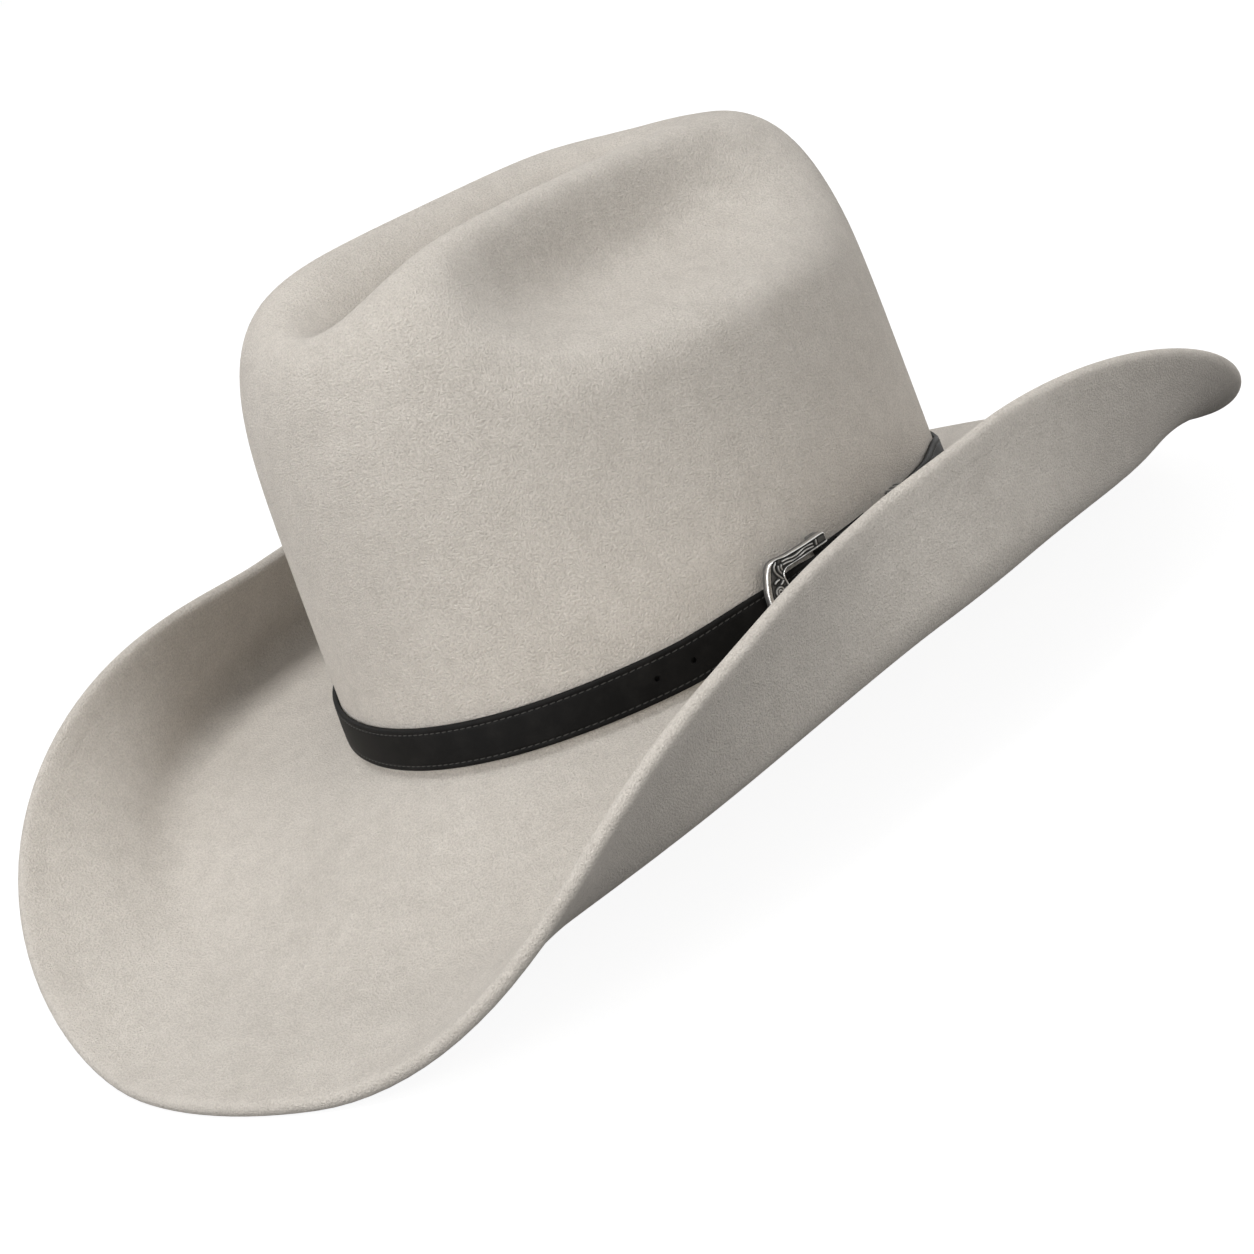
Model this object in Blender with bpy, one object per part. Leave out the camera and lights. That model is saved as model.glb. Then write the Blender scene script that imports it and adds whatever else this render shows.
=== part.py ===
"""Western felt hat with a buckled leather band, at its real size.

The front of the hat faces -Y, the wearer's left is +X and up is +Z. The origin is the middle
of the head opening, level with the brim break at the hat's sides.
"""
import math

import bmesh
import bpy
import numpy as np
from mathutils import Vector

MM = 0.001

# Felt and the head oval, measured outside the crown at the brim break
OVAL_HALF_LENGTH = 104.0 * MM
OVAL_HALF_WIDTH = 86.0 * MM
FELT = 2.8 * MM
BREAK_RADIUS = 2.0 * MM
BREAK_DIP_FRONT = 3.4 * MM
BREAK_DIP_REAR = 7.4 * MM

# Brim: widths along the felt, and slopes in degrees where it leaves the crown and at its edge
BRIM_WIDTH_FRONT = 116.4 * MM
BRIM_WIDTH_REAR = 98.3 * MM
BRIM_WIDTH_SIDE = 85.0 * MM
BRIM_START_FRONT = -23.1
BRIM_START_REAR = -15.3
BRIM_START_SIDE = 4.5
BRIM_EDGE_FRONT = -9.6
BRIM_EDGE_REAR = -8.9
BRIM_EDGE_SIDE = 97.9
BRIM_ROLL_FROM = 0.496
BRIM_ROLL_TO = 0.669
FRONT_SWEEP = (8.7, 75.9)
REAR_SWEEP = (18.5, 90.0)
WAIST_PLACE = (-22.5, 13.0)
WAIST_NARROWING = 5.3 * MM
WAIST_DROP = 1.9
SHOULDER_PLACE = (-50.8, 11.2)
SHOULDER_LIFT = 10.5

# Crown: an open dome, then the crease and the two dents that are pressed into it
CROWN_HEIGHT = 131.8 * MM
CROWN_FALL_TO_REAR = 7.3 * MM
CROWN_LEAN = 3.5 * MM
CROWN_TAPER_LENGTH = -0.013
CROWN_TAPER_WIDTH = 0.115
CROWN_PLAN_SQUARENESS = 5.86
CROWN_WALL_SQUARENESS = 6.74
CREASE_DEPTH = 24.3 * MM
CREASE_HALF_WIDTH = 15.6 * MM
CREASE_FRONT = -100.9 * MM
CREASE_FRONT_FADE = 38.0 * MM
CREASE_REAR = 86.0 * MM
CREASE_REAR_FADE = 54.0 * MM
DENT_DEPTH = 33.5 * MM
DENT_X = 63.6 * MM
DENT_Y = -15.6 * MM
DENT_TURN = 2.3
DENT_LENGTH_FRONT = 61.1 * MM
DENT_LENGTH_REAR = 86.0 * MM
DENT_HALF_WIDTH = 22.6 * MM
DENT_PUSH_IN = 38.6
DENT_CLIMB = -0.19
DENT_WALL_CURVE = 2.9
DENT_END_CURVE = 2.63
PRESSED_FROM = 0.608
PRESSED_TO = 1.0

# Inside: sweatband, reed and its tape, lining and the bow at the back
CLEARANCE = 0.3 * MM
LINING = 0.5 * MM
LINING_EASE = 1.1 * MM
LINING_FOOT = 20.0 * MM
LINING_SEAM = 74.0 * MM
LINING_DOME = 12.0 * MM
SWEATBAND = 1.3 * MM
SWEATBAND_HEIGHT = 54.0 * MM
REED_RADIUS = 1.4 * MM
TAPE = 0.5 * MM
TAPE_HEIGHT = 14.0 * MM
BOW_LENGTH = 34.0 * MM
BOW_HEIGHT = 13.0 * MM
BOW_WAIST = 5.0 * MM
BOW_PUFF = 2.4 * MM
BOW_LIFT = 10.0 * MM
KNOT_LENGTH = 6.0 * MM
KNOT_THICKNESS = 1.6 * MM

# Leather band
STRAP_WIDTH = 12.7 * MM
STRAP = 1.6 * MM
STRAP_LIFT = 2.9 * MM
BUCKLE_RISE = 1.3 * MM
RISE_RAMP = 30.0 * MM
BUCKLE_ANGLE = -10.8
HOLE_RADIUS = 0.85 * MM
HOLE_PITCH = 11.0 * MM
FIRST_SPARE_HOLE = 47.0 * MM
SPARE_HOLES = 2
TIP_REACH = 58.0 * MM
BILLET_STEP = 7.0 * MM
STRAP_SETTLE = 20.0 * MM
STRAP_SETBACK = 5.0 * MM
BILLET_RISE_END = 4.0 * MM

# Buckle set
FRAME_LENGTH = 23.0 * MM
FRAME_RAIL = 3.0 * MM
FRAME_BAR = 5.2 * MM
FRAME_THICKNESS = 2.3 * MM
FRAME_CHAMFER = 0.7 * MM
FRAME_LOBE = 3.0 * MM
FRAME_SHIFT = 1.4 * MM
FRAME_STANDOFF = 1.0 * MM
FRAME_SCALLOP = 0.8 * MM
RAIL_ROOM = 1.7 * MM
HEEL_BAR_RADIUS = 0.8 * MM
HEEL_LUG = 2.2 * MM
CHAPE = 0.9 * MM
CHAPE_LENGTH = 22.0 * MM
PRONG_WIDTH = 2.4 * MM
PRONG_THICKNESS = 1.5 * MM
PRONG_EYE = 0.95 * MM
PRONG_ROOM = 0.6 * MM
PRONG_SLOT_REAR = 1.6 * MM
PRONG_SLOT_FRONT = 8.0 * MM
PRONG_ARCH = 0.6 * MM
KEEPER = 0.8 * MM
KEEPER_LENGTH = 6.0 * MM
TIP_PLATE = 0.8 * MM
TIP_LENGTH = 12.0 * MM
TIP_RIDGE = 0.3 * MM

# Fineness of the faceted solids
AROUND = 64
BRIM_EDGE_ROWS = 2
BRIM_ROLL_ROWS = 5
BRIM_FLAT_ROWS = 2
CROWN_ROWS = 32
STRAP_STEP = 7.5 * MM
FINE_STEP = 2.0 * MM
HOLE_SIDES = 10
EYE_SIDES = 14
BAR_SIDES = 12

# What follows from the driving sizes
LINING_DEPTH = FELT + LINING_EASE
SWEATBAND_DEPTH = LINING_DEPTH + LINING + CLEARANCE
SWEATBAND_FOOT = REED_RADIUS + CLEARANCE
SWEATBAND_FACE = SWEATBAND_DEPTH + SWEATBAND
CHAPE_INNER = CLEARANCE
HEEL_BAR_OUT = CHAPE_INNER + CHAPE + CLEARANCE + HEEL_BAR_RADIUS
STRAP_UNDER = CHAPE_INNER + CHAPE + CLEARANCE
CHAPE_OUTER = 2 * HEEL_BAR_OUT - CHAPE_INNER - CHAPE
BILLET_HIGH = CHAPE_OUTER + CHAPE + CLEARANCE
BILLET_LOW = STRAP_UNDER + STRAP + CLEARANCE
FRAME_UNDER = CLEARANCE + STRAP + FRAME_STANDOFF
FRAME_TOP = FRAME_UNDER + FRAME_THICKNESS
RAIL_INNER = STRAP_WIDTH / 2 + RAIL_ROOM
RAIL_OUTER = RAIL_INNER + FRAME_RAIL
STRAP_START = HEEL_BAR_OUT + STRAP_SETBACK
KEEPER_UNDER = CLEARANCE
KEEPER_PLACE = (CHAPE_LENGTH + BILLET_STEP + TIP_REACH - TIP_LENGTH) / 2
KEEPER_OVER = BILLET_LOW + STRAP + CLEARANCE
REAR_ANGLE = math.pi / 2


def remove_everything():
    """Start from an empty scene."""
    for old in list(bpy.data.objects):
        bpy.data.objects.remove(old, do_unlink=True)


def smooth(low, high, value):
    """Ease from 0 at low to 1 at high."""
    share = np.clip((np.asarray(value, float) - low) / (high - low), 0.0, 1.0)
    return share * share * (3.0 - 2.0 * share)


def round_the_oval(angle, front, rear, side, front_sweep, rear_sweep):
    """Value at a plan angle, blended from the front or rear one to the side one."""
    along = np.sin(angle)
    turn = np.degrees(np.arccos(np.clip(np.abs(along), 0.0, 1.0)))
    share = np.where(along < 0, smooth(*front_sweep, turn), smooth(*rear_sweep, turn))
    end = np.where(along < 0, front, rear)
    return end + (side - end) * share


def bump(angle, place, spread):
    """1 at a place given in degrees behind the side, easing to 0 around it, alike on both sides."""
    turn = np.degrees(np.arcsin(np.sin(angle)))
    return np.exp(-((turn - place) / spread) ** 2)


def oval(angle, out=0.0):
    """Plan point of the head oval, moved outwards square to it."""
    x = OVAL_HALF_WIDTH * np.cos(angle)
    y = OVAL_HALF_LENGTH * np.sin(angle)
    return np.stack([x, y], -1) + np.asarray(out)[..., None] * oval_normal(angle)


def oval_normal(angle):
    """Outward plan direction of the head oval."""
    normal = np.stack([np.cos(angle) / OVAL_HALF_WIDTH, np.sin(angle) / OVAL_HALF_LENGTH], -1)
    return normal / np.linalg.norm(normal, axis=-1, keepdims=True)


def break_height(angle):
    """The brim break dips towards the front and the rear."""
    along = np.sin(angle)
    return -np.where(along < 0, BREAK_DIP_FRONT, BREAK_DIP_REAR) * along ** 2


def brim_surface(angle, shares):
    """Points of the brim's upper face, for one plan angle and shares of its width."""
    full_turns = (0.0, 90.0), (0.0, 90.0)
    sweeps = FRONT_SWEEP, REAR_SWEEP
    width = round_the_oval(angle, BRIM_WIDTH_FRONT, BRIM_WIDTH_REAR, BRIM_WIDTH_SIDE, *full_turns)
    start = round_the_oval(angle, BRIM_START_FRONT, BRIM_START_REAR, BRIM_START_SIDE, *sweeps)
    edge = round_the_oval(angle, BRIM_EDGE_FRONT, BRIM_EDGE_REAR, BRIM_EDGE_SIDE, *sweeps)
    waist = bump(angle, *WAIST_PLACE)
    width = width - WAIST_NARROWING * waist
    start = start - WAIST_DROP * waist
    edge = edge + SHOULDER_LIFT * bump(angle, *SHOULDER_PLACE)
    steps = 80
    marks = np.linspace(0.0, 1.0, steps + 1)
    middles = (marks[1:] + marks[:-1]) / 2
    slope = np.radians(start + (edge - start) * smooth(BRIM_ROLL_FROM, BRIM_ROLL_TO, middles))
    step = width / steps
    reach = np.concatenate([[0.0], np.cumsum(np.cos(slope) * step)])
    climb = np.concatenate([[0.0], np.cumsum(np.sin(slope) * step)])
    out = BREAK_RADIUS + np.interp(shares, marks, reach)
    height = break_height(angle) + np.interp(shares, marks, climb)
    plan = oval(np.full(len(shares), angle), out)
    return np.column_stack([plan, height])


def crown_surface(angle, rise):
    """Points of the crown's outer face: rise 0 is the brim break, pi / 2 the middle of the top."""
    angle, rise = np.broadcast_arrays(np.asarray(angle, float), np.asarray(rise, float))
    spread = np.clip(np.cos(rise), 0.0, 1.0) ** (2.0 / CROWN_PLAN_SQUARENESS)
    share = np.clip(np.sin(rise), 0.0, 1.0) ** (2.0 / CROWN_WALL_SQUARENESS)
    x = OVAL_HALF_WIDTH * np.cos(angle) * spread * (1.0 - CROWN_TAPER_WIDTH * share)
    y = OVAL_HALF_LENGTH * np.sin(angle) * spread * (1.0 - CROWN_TAPER_LENGTH * share)
    y = y + CROWN_LEAN * share
    top = CROWN_HEIGHT - CROWN_FALL_TO_REAR * y / OVAL_HALF_LENGTH
    z = top * share + break_height(angle) * (1.0 - share)
    pressed = smooth(PRESSED_FROM, PRESSED_TO, share)
    crease_front = smooth(CREASE_FRONT, CREASE_FRONT + CREASE_FRONT_FADE, y)
    crease_rear = 1.0 - smooth(CREASE_REAR - CREASE_REAR_FADE, CREASE_REAR, y)
    sink = CREASE_DEPTH * crease_front * crease_rear * np.exp(-(x / CREASE_HALF_WIDTH) ** 2) * pressed
    inward = np.zeros_like(x)
    push = math.radians(DENT_PUSH_IN)
    for side in (1.0, -1.0):
        turn = side * math.radians(DENT_TURN)
        dx, dy = x - side * DENT_X, y - DENT_Y
        along = dx * math.sin(turn) + dy * math.cos(turn)
        across = side * (dx * math.cos(turn) - dy * math.sin(turn))
        across = across + DENT_CLIMB * CROWN_HEIGHT * (1.0 - share)
        length = np.where(along < 0, DENT_LENGTH_FRONT, DENT_LENGTH_REAR)
        end_fade = np.abs(along / length) ** DENT_END_CURVE
        wall_fade = np.abs(across / DENT_HALF_WIDTH) ** DENT_WALL_CURVE
        dent = DENT_DEPTH * np.exp(-end_fade - wall_fade) * pressed
        sink = sink + dent * math.cos(push)
        inward = inward + side * dent * math.sin(push)
    return np.stack([x - inward, y, z - sink], -1)


def crown_normal(angle, rise):
    """Outward direction of the crown's outer face."""
    step = 1e-4
    angle, rise = np.broadcast_arrays(np.asarray(angle, float), np.asarray(rise, float))
    low = np.clip(rise - step, 1e-5, math.pi / 2 - 3 * step)
    across = crown_surface(angle + step, low + step) - crown_surface(angle - step, low + step)
    upwards = crown_surface(angle, low + 2 * step) - crown_surface(angle, low)
    normal = np.cross(across, upwards)
    return normal / np.linalg.norm(normal, axis=-1, keepdims=True)


def rise_at_height(angle, height):
    """Rise at which the crown's wall is a height above the brim break."""
    top = CROWN_HEIGHT - CROWN_FALL_TO_REAR * np.sin(angle) - break_height(angle)
    share = np.clip(np.asarray(height, float) / top, 0.0, 1.0)
    return np.arcsin(share ** (CROWN_WALL_SQUARENESS / 2.0))


def crown_rows():
    """Rises whose rings are evenly spaced along the crown's undented profile."""
    fine = np.linspace(0.0, math.pi / 2, 2000)
    spread = OVAL_HALF_WIDTH * np.cos(fine) ** (2.0 / CROWN_PLAN_SQUARENESS)
    climb = CROWN_HEIGHT * np.sin(fine) ** (2.0 / CROWN_WALL_SQUARENESS)
    length = np.concatenate([[0.0], np.cumsum(np.hypot(np.diff(spread), np.diff(climb)))])
    return np.interp(np.linspace(0.0, length[-1], CROWN_ROWS + 1), length, fine)


def even_angles():
    """Plan angles evenly spaced along an oval halfway out on the brim."""
    fine = np.linspace(0.0, 2.0 * math.pi, 4001)
    points = oval(fine, np.full(len(fine), BRIM_WIDTH_SIDE / 2))
    walked = np.concatenate([[0.0], np.cumsum(np.linalg.norm(np.diff(points, axis=0), axis=1))])
    return np.interp(np.linspace(0.0, walked[-1], AROUND, endpoint=False), walked, fine)


ANGLES = even_angles()
ROWS = crown_rows()


def oval_length_table():
    """Plan angles and the lengths walked along the oval, from the buckle's heel bar."""
    angles = math.radians(BUCKLE_ANGLE) + np.linspace(-2.0 * math.pi, 4.0 * math.pi, 6001)
    points = oval(angles, np.zeros(len(angles)))
    walked = np.concatenate([[0.0], np.cumsum(np.linalg.norm(np.diff(points, axis=0), axis=1))])
    return angles, walked - walked[2000]


TABLE_ANGLES, TABLE_LENGTHS = oval_length_table()
GIRTH = TABLE_LENGTHS[4000]


def strap_foot(along):
    """Height of the strap's lower edge: it rides up where the taller buckle sits."""
    near = np.mod(np.asarray(along, float) + GIRTH / 2, GIRTH) - GIRTH / 2
    rear = TIP_REACH + CHAPE_LENGTH
    rise = smooth(-FRAME_LENGTH - RISE_RAMP, -FRAME_LENGTH, near)
    fall = smooth(rear, rear + RISE_RAMP, near)
    return STRAP_LIFT + BUCKLE_RISE * rise * (1.0 - fall)


def wrap(along, out, up):
    """Band coordinates to space: along the oval to the rear, out from the felt, up the wall."""
    along, out, up = np.broadcast_arrays(*(np.asarray(v, float) for v in (along, out, up)))
    angle = np.interp(along, TABLE_LENGTHS, TABLE_ANGLES)
    point = crown_surface(angle, rise_at_height(angle, np.maximum(up, 0.0)))
    point[..., :2] += oval_normal(angle) * out[..., None]
    point[..., 2] += np.minimum(up, 0.0)
    return point


def strap_middle(along=0.0):
    """Height of the strap's middle line."""
    return strap_foot(along) + STRAP_WIDTH / 2


def finish(name, colour, roughness, metallic=0.0):
    """A plain Principled finish."""
    material = bpy.data.materials.new(name)
    material.use_nodes = True
    shader = material.node_tree.nodes["Principled BSDF"]
    shader.inputs["Base Color"].default_value = (*colour, 1.0)
    shader.inputs["Roughness"].default_value = roughness
    shader.inputs["Metallic"].default_value = metallic
    material.diffuse_color = (*colour, 1.0)
    return material


def place(name, mesh_data, material, origin=(0.0, 0.0, 0.0)):
    """Make an object of a bmesh, with its own origin on a joint's axis where it has one."""
    origin = Vector(origin)
    bmesh.ops.translate(mesh_data, verts=mesh_data.verts, vec=-origin)
    mesh = bpy.data.meshes.new(name)
    mesh_data.to_mesh(mesh)
    mesh_data.free()
    mesh.shade_smooth()
    mesh.set_sharp_from_angle(angle=math.radians(40))
    piece = bpy.data.objects.new(name, mesh)
    piece.location = origin
    bpy.context.scene.collection.objects.link(piece)
    if material is not None:
        mesh.materials.append(material)
    return piece


def sheet_of(rows, pole=None):
    """An open surface of closed rings, each row inside or above the one before."""
    sheet = bmesh.new()
    rings = [[sheet.verts.new(point) for point in row] for row in rows]
    for low, high in zip(rings, rings[1:]):
        for i in range(len(low)):
            j = (i + 1) % len(low)
            sheet.faces.new((low[i], low[j], high[j], high[i]))
    if pole is not None:
        top = sheet.verts.new(pole)
        for i in range(len(rings[-1])):
            sheet.faces.new((rings[-1][i], rings[-1][(i + 1) % len(rings[-1])], top))
    return sheet


def thicken(piece, thickness):
    """Give a sheet its thickness on its inner side."""
    solidify = piece.modifiers.new("thickness", "SOLIDIFY")
    solidify.thickness = thickness
    solidify.offset = -1.0
    solidify.use_even_offset = True
    solidify.use_quality_normals = True


def loft(sections, closed=False):
    """A closed solid through like sections, capped at its ends or closed on itself."""
    solid = bmesh.new()
    loops = [[solid.verts.new(point) for point in section] for section in sections]
    pairs = list(zip(loops, loops[1:]))
    if closed:
        pairs.append((loops[-1], loops[0]))
    for one, other in pairs:
        for i in range(len(one)):
            j = (i + 1) % len(one)
            solid.faces.new((one[i], one[j], other[j], other[i]))
    if not closed:
        solid.faces.new(loops[0])
        solid.faces.new(loops[-1])
    bmesh.ops.recalc_face_normals(solid, faces=solid.faces)
    return solid


def guide(name, mesh_data):
    """A cutter or a joined-on shape, which is no piece of its own."""
    tool = place(name, mesh_data, None)
    tool.hide_render = True
    tool.display_type = "WIRE"
    return tool


def combine(piece, tool, operation):
    """Boolean of a piece with a guide."""
    boolean = piece.modifiers.new(tool.name, "BOOLEAN")
    boolean.operation = operation
    boolean.object = tool
    boolean.solver = "EXACT"


def band_box(along, out, up):
    """A block between limits in band coordinates, following the crown's curve."""
    count = max(2, int(math.ceil((along[1] - along[0]) / FINE_STEP)) + 1)
    stations = np.linspace(along[0], along[1], count)
    sections = []
    for station in stations:
        sections.append([wrap(station, out[i], up[j]) for i, j in ((0, 0), (1, 0), (1, 1), (0, 1))])
    return loft(sections)


def heel_bar_ends(reach):
    """Two points of the heel bar's axis, a reach below and above the frame's middle."""
    middle = strap_middle() + FRAME_SHIFT
    return wrap(0.0, HEEL_BAR_OUT, middle - reach), wrap(0.0, HEEL_BAR_OUT, middle + reach)


def heel_bar_axis():
    """Middle point and direction of the heel bar."""
    low, high = heel_bar_ends(RAIL_INNER)
    return Vector((low + high) / 2), Vector(high - low).normalized()


def felt_body(material):
    """Crown and brim, blocked from one felt cone."""
    shares = np.concatenate([
        np.linspace(1.0, BRIM_ROLL_TO, BRIM_EDGE_ROWS, endpoint=False),
        np.linspace(BRIM_ROLL_TO, BRIM_ROLL_FROM, BRIM_ROLL_ROWS, endpoint=False),
        np.linspace(BRIM_ROLL_FROM, 0.0, BRIM_FLAT_ROWS + 1)])
    brim = np.array([brim_surface(angle, shares) for angle in ANGLES]).transpose(1, 0, 2)
    bend = BREAK_RADIUS * (1.0 - math.sqrt(0.5))
    foot = np.column_stack([oval(ANGLES, np.full(AROUND, bend)), break_height(ANGLES) + bend])
    wall_foot = crown_surface(ANGLES, rise_at_height(ANGLES, BREAK_RADIUS))
    crown = [crown_surface(ANGLES, np.full(AROUND, rise)) for rise in ROWS[1:-1]]
    pole = crown_surface(0.0, math.pi / 2)
    piece = place("felt_body", sheet_of([*brim, foot, wall_foot, *crown], pole), material)
    thicken(piece, FELT)
    return piece


def inside_ring(row, depth):
    """A ring inside the crown, a depth in from its outer face."""
    return crown_surface(ANGLES, row) - depth * crown_normal(ANGLES, row)


def inside_sheet(name, rows, depth, thickness, material):
    """A thin piece that lies along the inside of the crown's wall."""
    piece = place(name, sheet_of([inside_ring(row, depth) for row in rows]), material)
    thicken(piece, thickness)


def height_row(height):
    """A row of rises at one height above the brim break."""
    return rise_at_height(ANGLES, np.full(AROUND, height))


def linings(material):
    """Satin lining: a side strip behind the sweatband, and a tip that hangs clear of the creases."""
    heights = np.linspace(LINING_FOOT, LINING_SEAM, 5)
    rows = [height_row(height) for height in heights]
    inside_sheet("lining_side", rows, LINING_DEPTH, LINING, material)
    rim = inside_ring(height_row(LINING_SEAM + 2 * CLEARANCE), LINING_DEPTH)
    middle = rim.mean(axis=0)
    rings = []
    for share in (1.0, 0.96, 0.85, 0.65, 0.4, 0.18):
        ring = middle + (rim - middle) * share
        ring[:, 2] = rim[:, 2] * share + middle[2] * (1.0 - share) + LINING_DOME * (1.0 - share ** 2)
        rings.append(ring)
    tip = place("lining_tip", sheet_of(rings, middle + (0.0, 0.0, LINING_DOME)), material)
    thicken(tip, LINING)


def sweatband(material):
    """Leather band that sits against the head."""
    heights = np.linspace(SWEATBAND_FOOT, SWEATBAND_FOOT + SWEATBAND_HEIGHT, 5)
    rows = [height_row(height) for height in heights]
    inside_sheet("sweatband", rows, SWEATBAND_DEPTH, SWEATBAND, material)


def reed_tape(material):
    """Woven tape between the felt and the sweatband's foot."""
    rows = [height_row(SWEATBAND_FOOT), height_row(SWEATBAND_FOOT + TAPE_HEIGHT)]
    inside_sheet("reed_tape", rows, FELT + CLEARANCE, TAPE, material)


def sweatband_reed(material):
    """Round reed that stiffens the sweatband's lower edge."""
    sides = 6
    centre_depth = FELT + CLEARANCE + REED_RADIUS
    sections = []
    for angle in ANGLES:
        centre = np.append(oval(angle, -centre_depth), break_height(angle))
        outward = np.append(oval_normal(angle), 0.0)
        section = []
        for k in range(sides):
            turn = 2.0 * math.pi * k / sides
            offset = math.cos(turn) * outward + math.sin(turn) * np.array((0.0, 0.0, 1.0))
            section.append(centre + REED_RADIUS * offset)
        sections.append(section)
    place("sweatband_reed", loft(sections, closed=True), material)


def rear_bow(material):
    """Small ribbon bow over the sweatband's rear seam, and the knot across its waist."""
    rear = float(np.interp(REAR_ANGLE, TABLE_ANGLES, TABLE_LENGTHS))
    middle = SWEATBAND_FOOT + BOW_LIFT + BOW_HEIGHT / 2
    back = -(SWEATBAND_FACE + 2 * CLEARANCE)
    shares = np.linspace(-1.0, 1.0, 15)
    waist_puff = BOW_PUFF / 2
    waist_end = 1.3 * KNOT_LENGTH / BOW_LENGTH
    sections = []
    for share in shares:
        loop = max(abs(share) - waist_end, 0.0) / (1.0 - waist_end)
        wide = float(smooth(0.0, 0.6, loop))
        half = (BOW_WAIST + (BOW_HEIGHT - BOW_WAIST) * wide) / 2
        puff = waist_puff + (BOW_PUFF - waist_puff) * math.sin(math.pi * loop)
        along = rear + share * BOW_LENGTH / 2
        corners = ((0.0, -half), (-0.7 * puff, -0.7 * half), (-puff, 0.0),
                   (-0.7 * puff, 0.7 * half), (0.0, half))
        sections.append([wrap(along, back + out, middle + up) for out, up in corners])
    place("rear_bow", loft(sections), material)
    knot_back = back - waist_puff - CLEARANCE
    knot_along = (rear - KNOT_LENGTH / 2, rear + KNOT_LENGTH / 2)
    knot_up = (middle - BOW_WAIST / 2, middle + BOW_WAIST / 2)
    knot = band_box(knot_along, (knot_back - KNOT_THICKNESS, knot_back), knot_up)
    place("rear_bow_knot", knot, material)


def strap_out(along):
    """How far the strap's inner face stands off the felt, along its whole length."""
    under = STRAP_UNDER + (CLEARANCE - STRAP_UNDER) * smooth(TIP_REACH, TIP_REACH + STRAP_SETTLE, along)
    risen = smooth(-0.8 * FRAME_LENGTH, -BILLET_RISE_END, along - GIRTH)
    over = CLEARANCE + (BILLET_HIGH - CLEARANCE) * risen
    down = smooth(CHAPE_LENGTH, CHAPE_LENGTH + BILLET_STEP, along - GIRTH)
    over = over + (BILLET_LOW - BILLET_HIGH) * down
    return np.where(along < GIRTH / 2, under, over)


def hatband_strap(material):
    """One leather strap, from the chape round the crown and on through the buckle."""
    end = GIRTH + TIP_REACH
    fine_ends = (STRAP_START + 3 * TIP_REACH / 2, GIRTH - 2 * FRAME_LENGTH)
    stations = np.concatenate([
        np.arange(STRAP_START, fine_ends[0], 2 * FINE_STEP),
        np.arange(fine_ends[0], fine_ends[1], STRAP_STEP),
        np.arange(fine_ends[1], end - FINE_STEP, FINE_STEP),
        [end]])
    sections = []
    for along in stations:
        inner = float(strap_out(along))
        foot = float(strap_foot(along))
        head = foot + STRAP_WIDTH
        corners = ((inner, foot), (inner + STRAP, foot), (inner + STRAP, head), (inner, head))
        sections.append([wrap(along, out, up) for out, up in corners])
    strap = place("hatband_strap", loft(sections), material)
    slot_half = PRONG_WIDTH / 2 + PRONG_ROOM
    middle = strap_middle()
    slot_out = (CHAPE_OUTER + CHAPE / 2, BILLET_HIGH + 3 * STRAP)
    slot_up = (middle - slot_half, middle + slot_half)
    slot = band_box((-PRONG_SLOT_FRONT, PRONG_SLOT_REAR), slot_out, slot_up)
    combine(strap, guide("prong_slot", slot), "DIFFERENCE")
    for k in range(SPARE_HOLES):
        along = GIRTH - FIRST_SPARE_HOLE - k * HOLE_PITCH
        centre = strap_middle(along)
        turns = 2.0 * math.pi * np.arange(HOLE_SIDES) / HOLE_SIDES
        around = along + HOLE_RADIUS * np.cos(turns)
        up = centre + HOLE_RADIUS * np.sin(turns)
        sections = [wrap(around, out, up) for out in (-STRAP, 3 * STRAP)]
        combine(strap, guide("punched_hole", loft(sections)), "DIFFERENCE")


def buckle_chape(material):
    """Thin leather folded round the heel bar, with the strap's end between its plies."""
    inner_radius = HEEL_BAR_RADIUS + CLEARANCE
    path = [(CHAPE_LENGTH - k * CHAPE_LENGTH / 8, CHAPE_INNER, CHAPE_INNER + CHAPE) for k in range(8)]
    fold = []
    for k in range(9):
        turn = -math.pi / 2 - math.pi * k / 8
        fold.append((turn, inner_radius, inner_radius + CHAPE))
    sections = []
    foot, head = strap_foot(0.0), strap_foot(0.0) + STRAP_WIDTH

    def section(near, far):
        return [wrap(*near, foot), wrap(*far, foot), wrap(*far, head), wrap(*near, head)]

    for along, low, high in path:
        sections.append(section((along, high), (along, low)))
    for turn, near, far in fold:
        inner = (near * math.cos(turn), HEEL_BAR_OUT + near * math.sin(turn))
        outer = (far * math.cos(turn), HEEL_BAR_OUT + far * math.sin(turn))
        sections.append(section(inner, outer))
    for along, low, high in reversed(path):
        shift = CHAPE_OUTER - CHAPE_INNER
        sections.append(section((along, low + shift), (along, high + shift)))
    chape = place("buckle_chape", loft(sections), material)
    half = PRONG_WIDTH / 2 + PRONG_ROOM
    middle = strap_middle()
    reach = HEEL_BAR_RADIUS + 2 * CLEARANCE + PRONG_EYE + PRONG_ROOM
    slot_up = (middle - half, middle + half)
    slot = band_box((-reach - CHAPE, reach), (-CHAPE, BILLET_HIGH + STRAP), slot_up)
    combine(chape, guide("crew_slot", slot), "DIFFERENCE")


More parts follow.
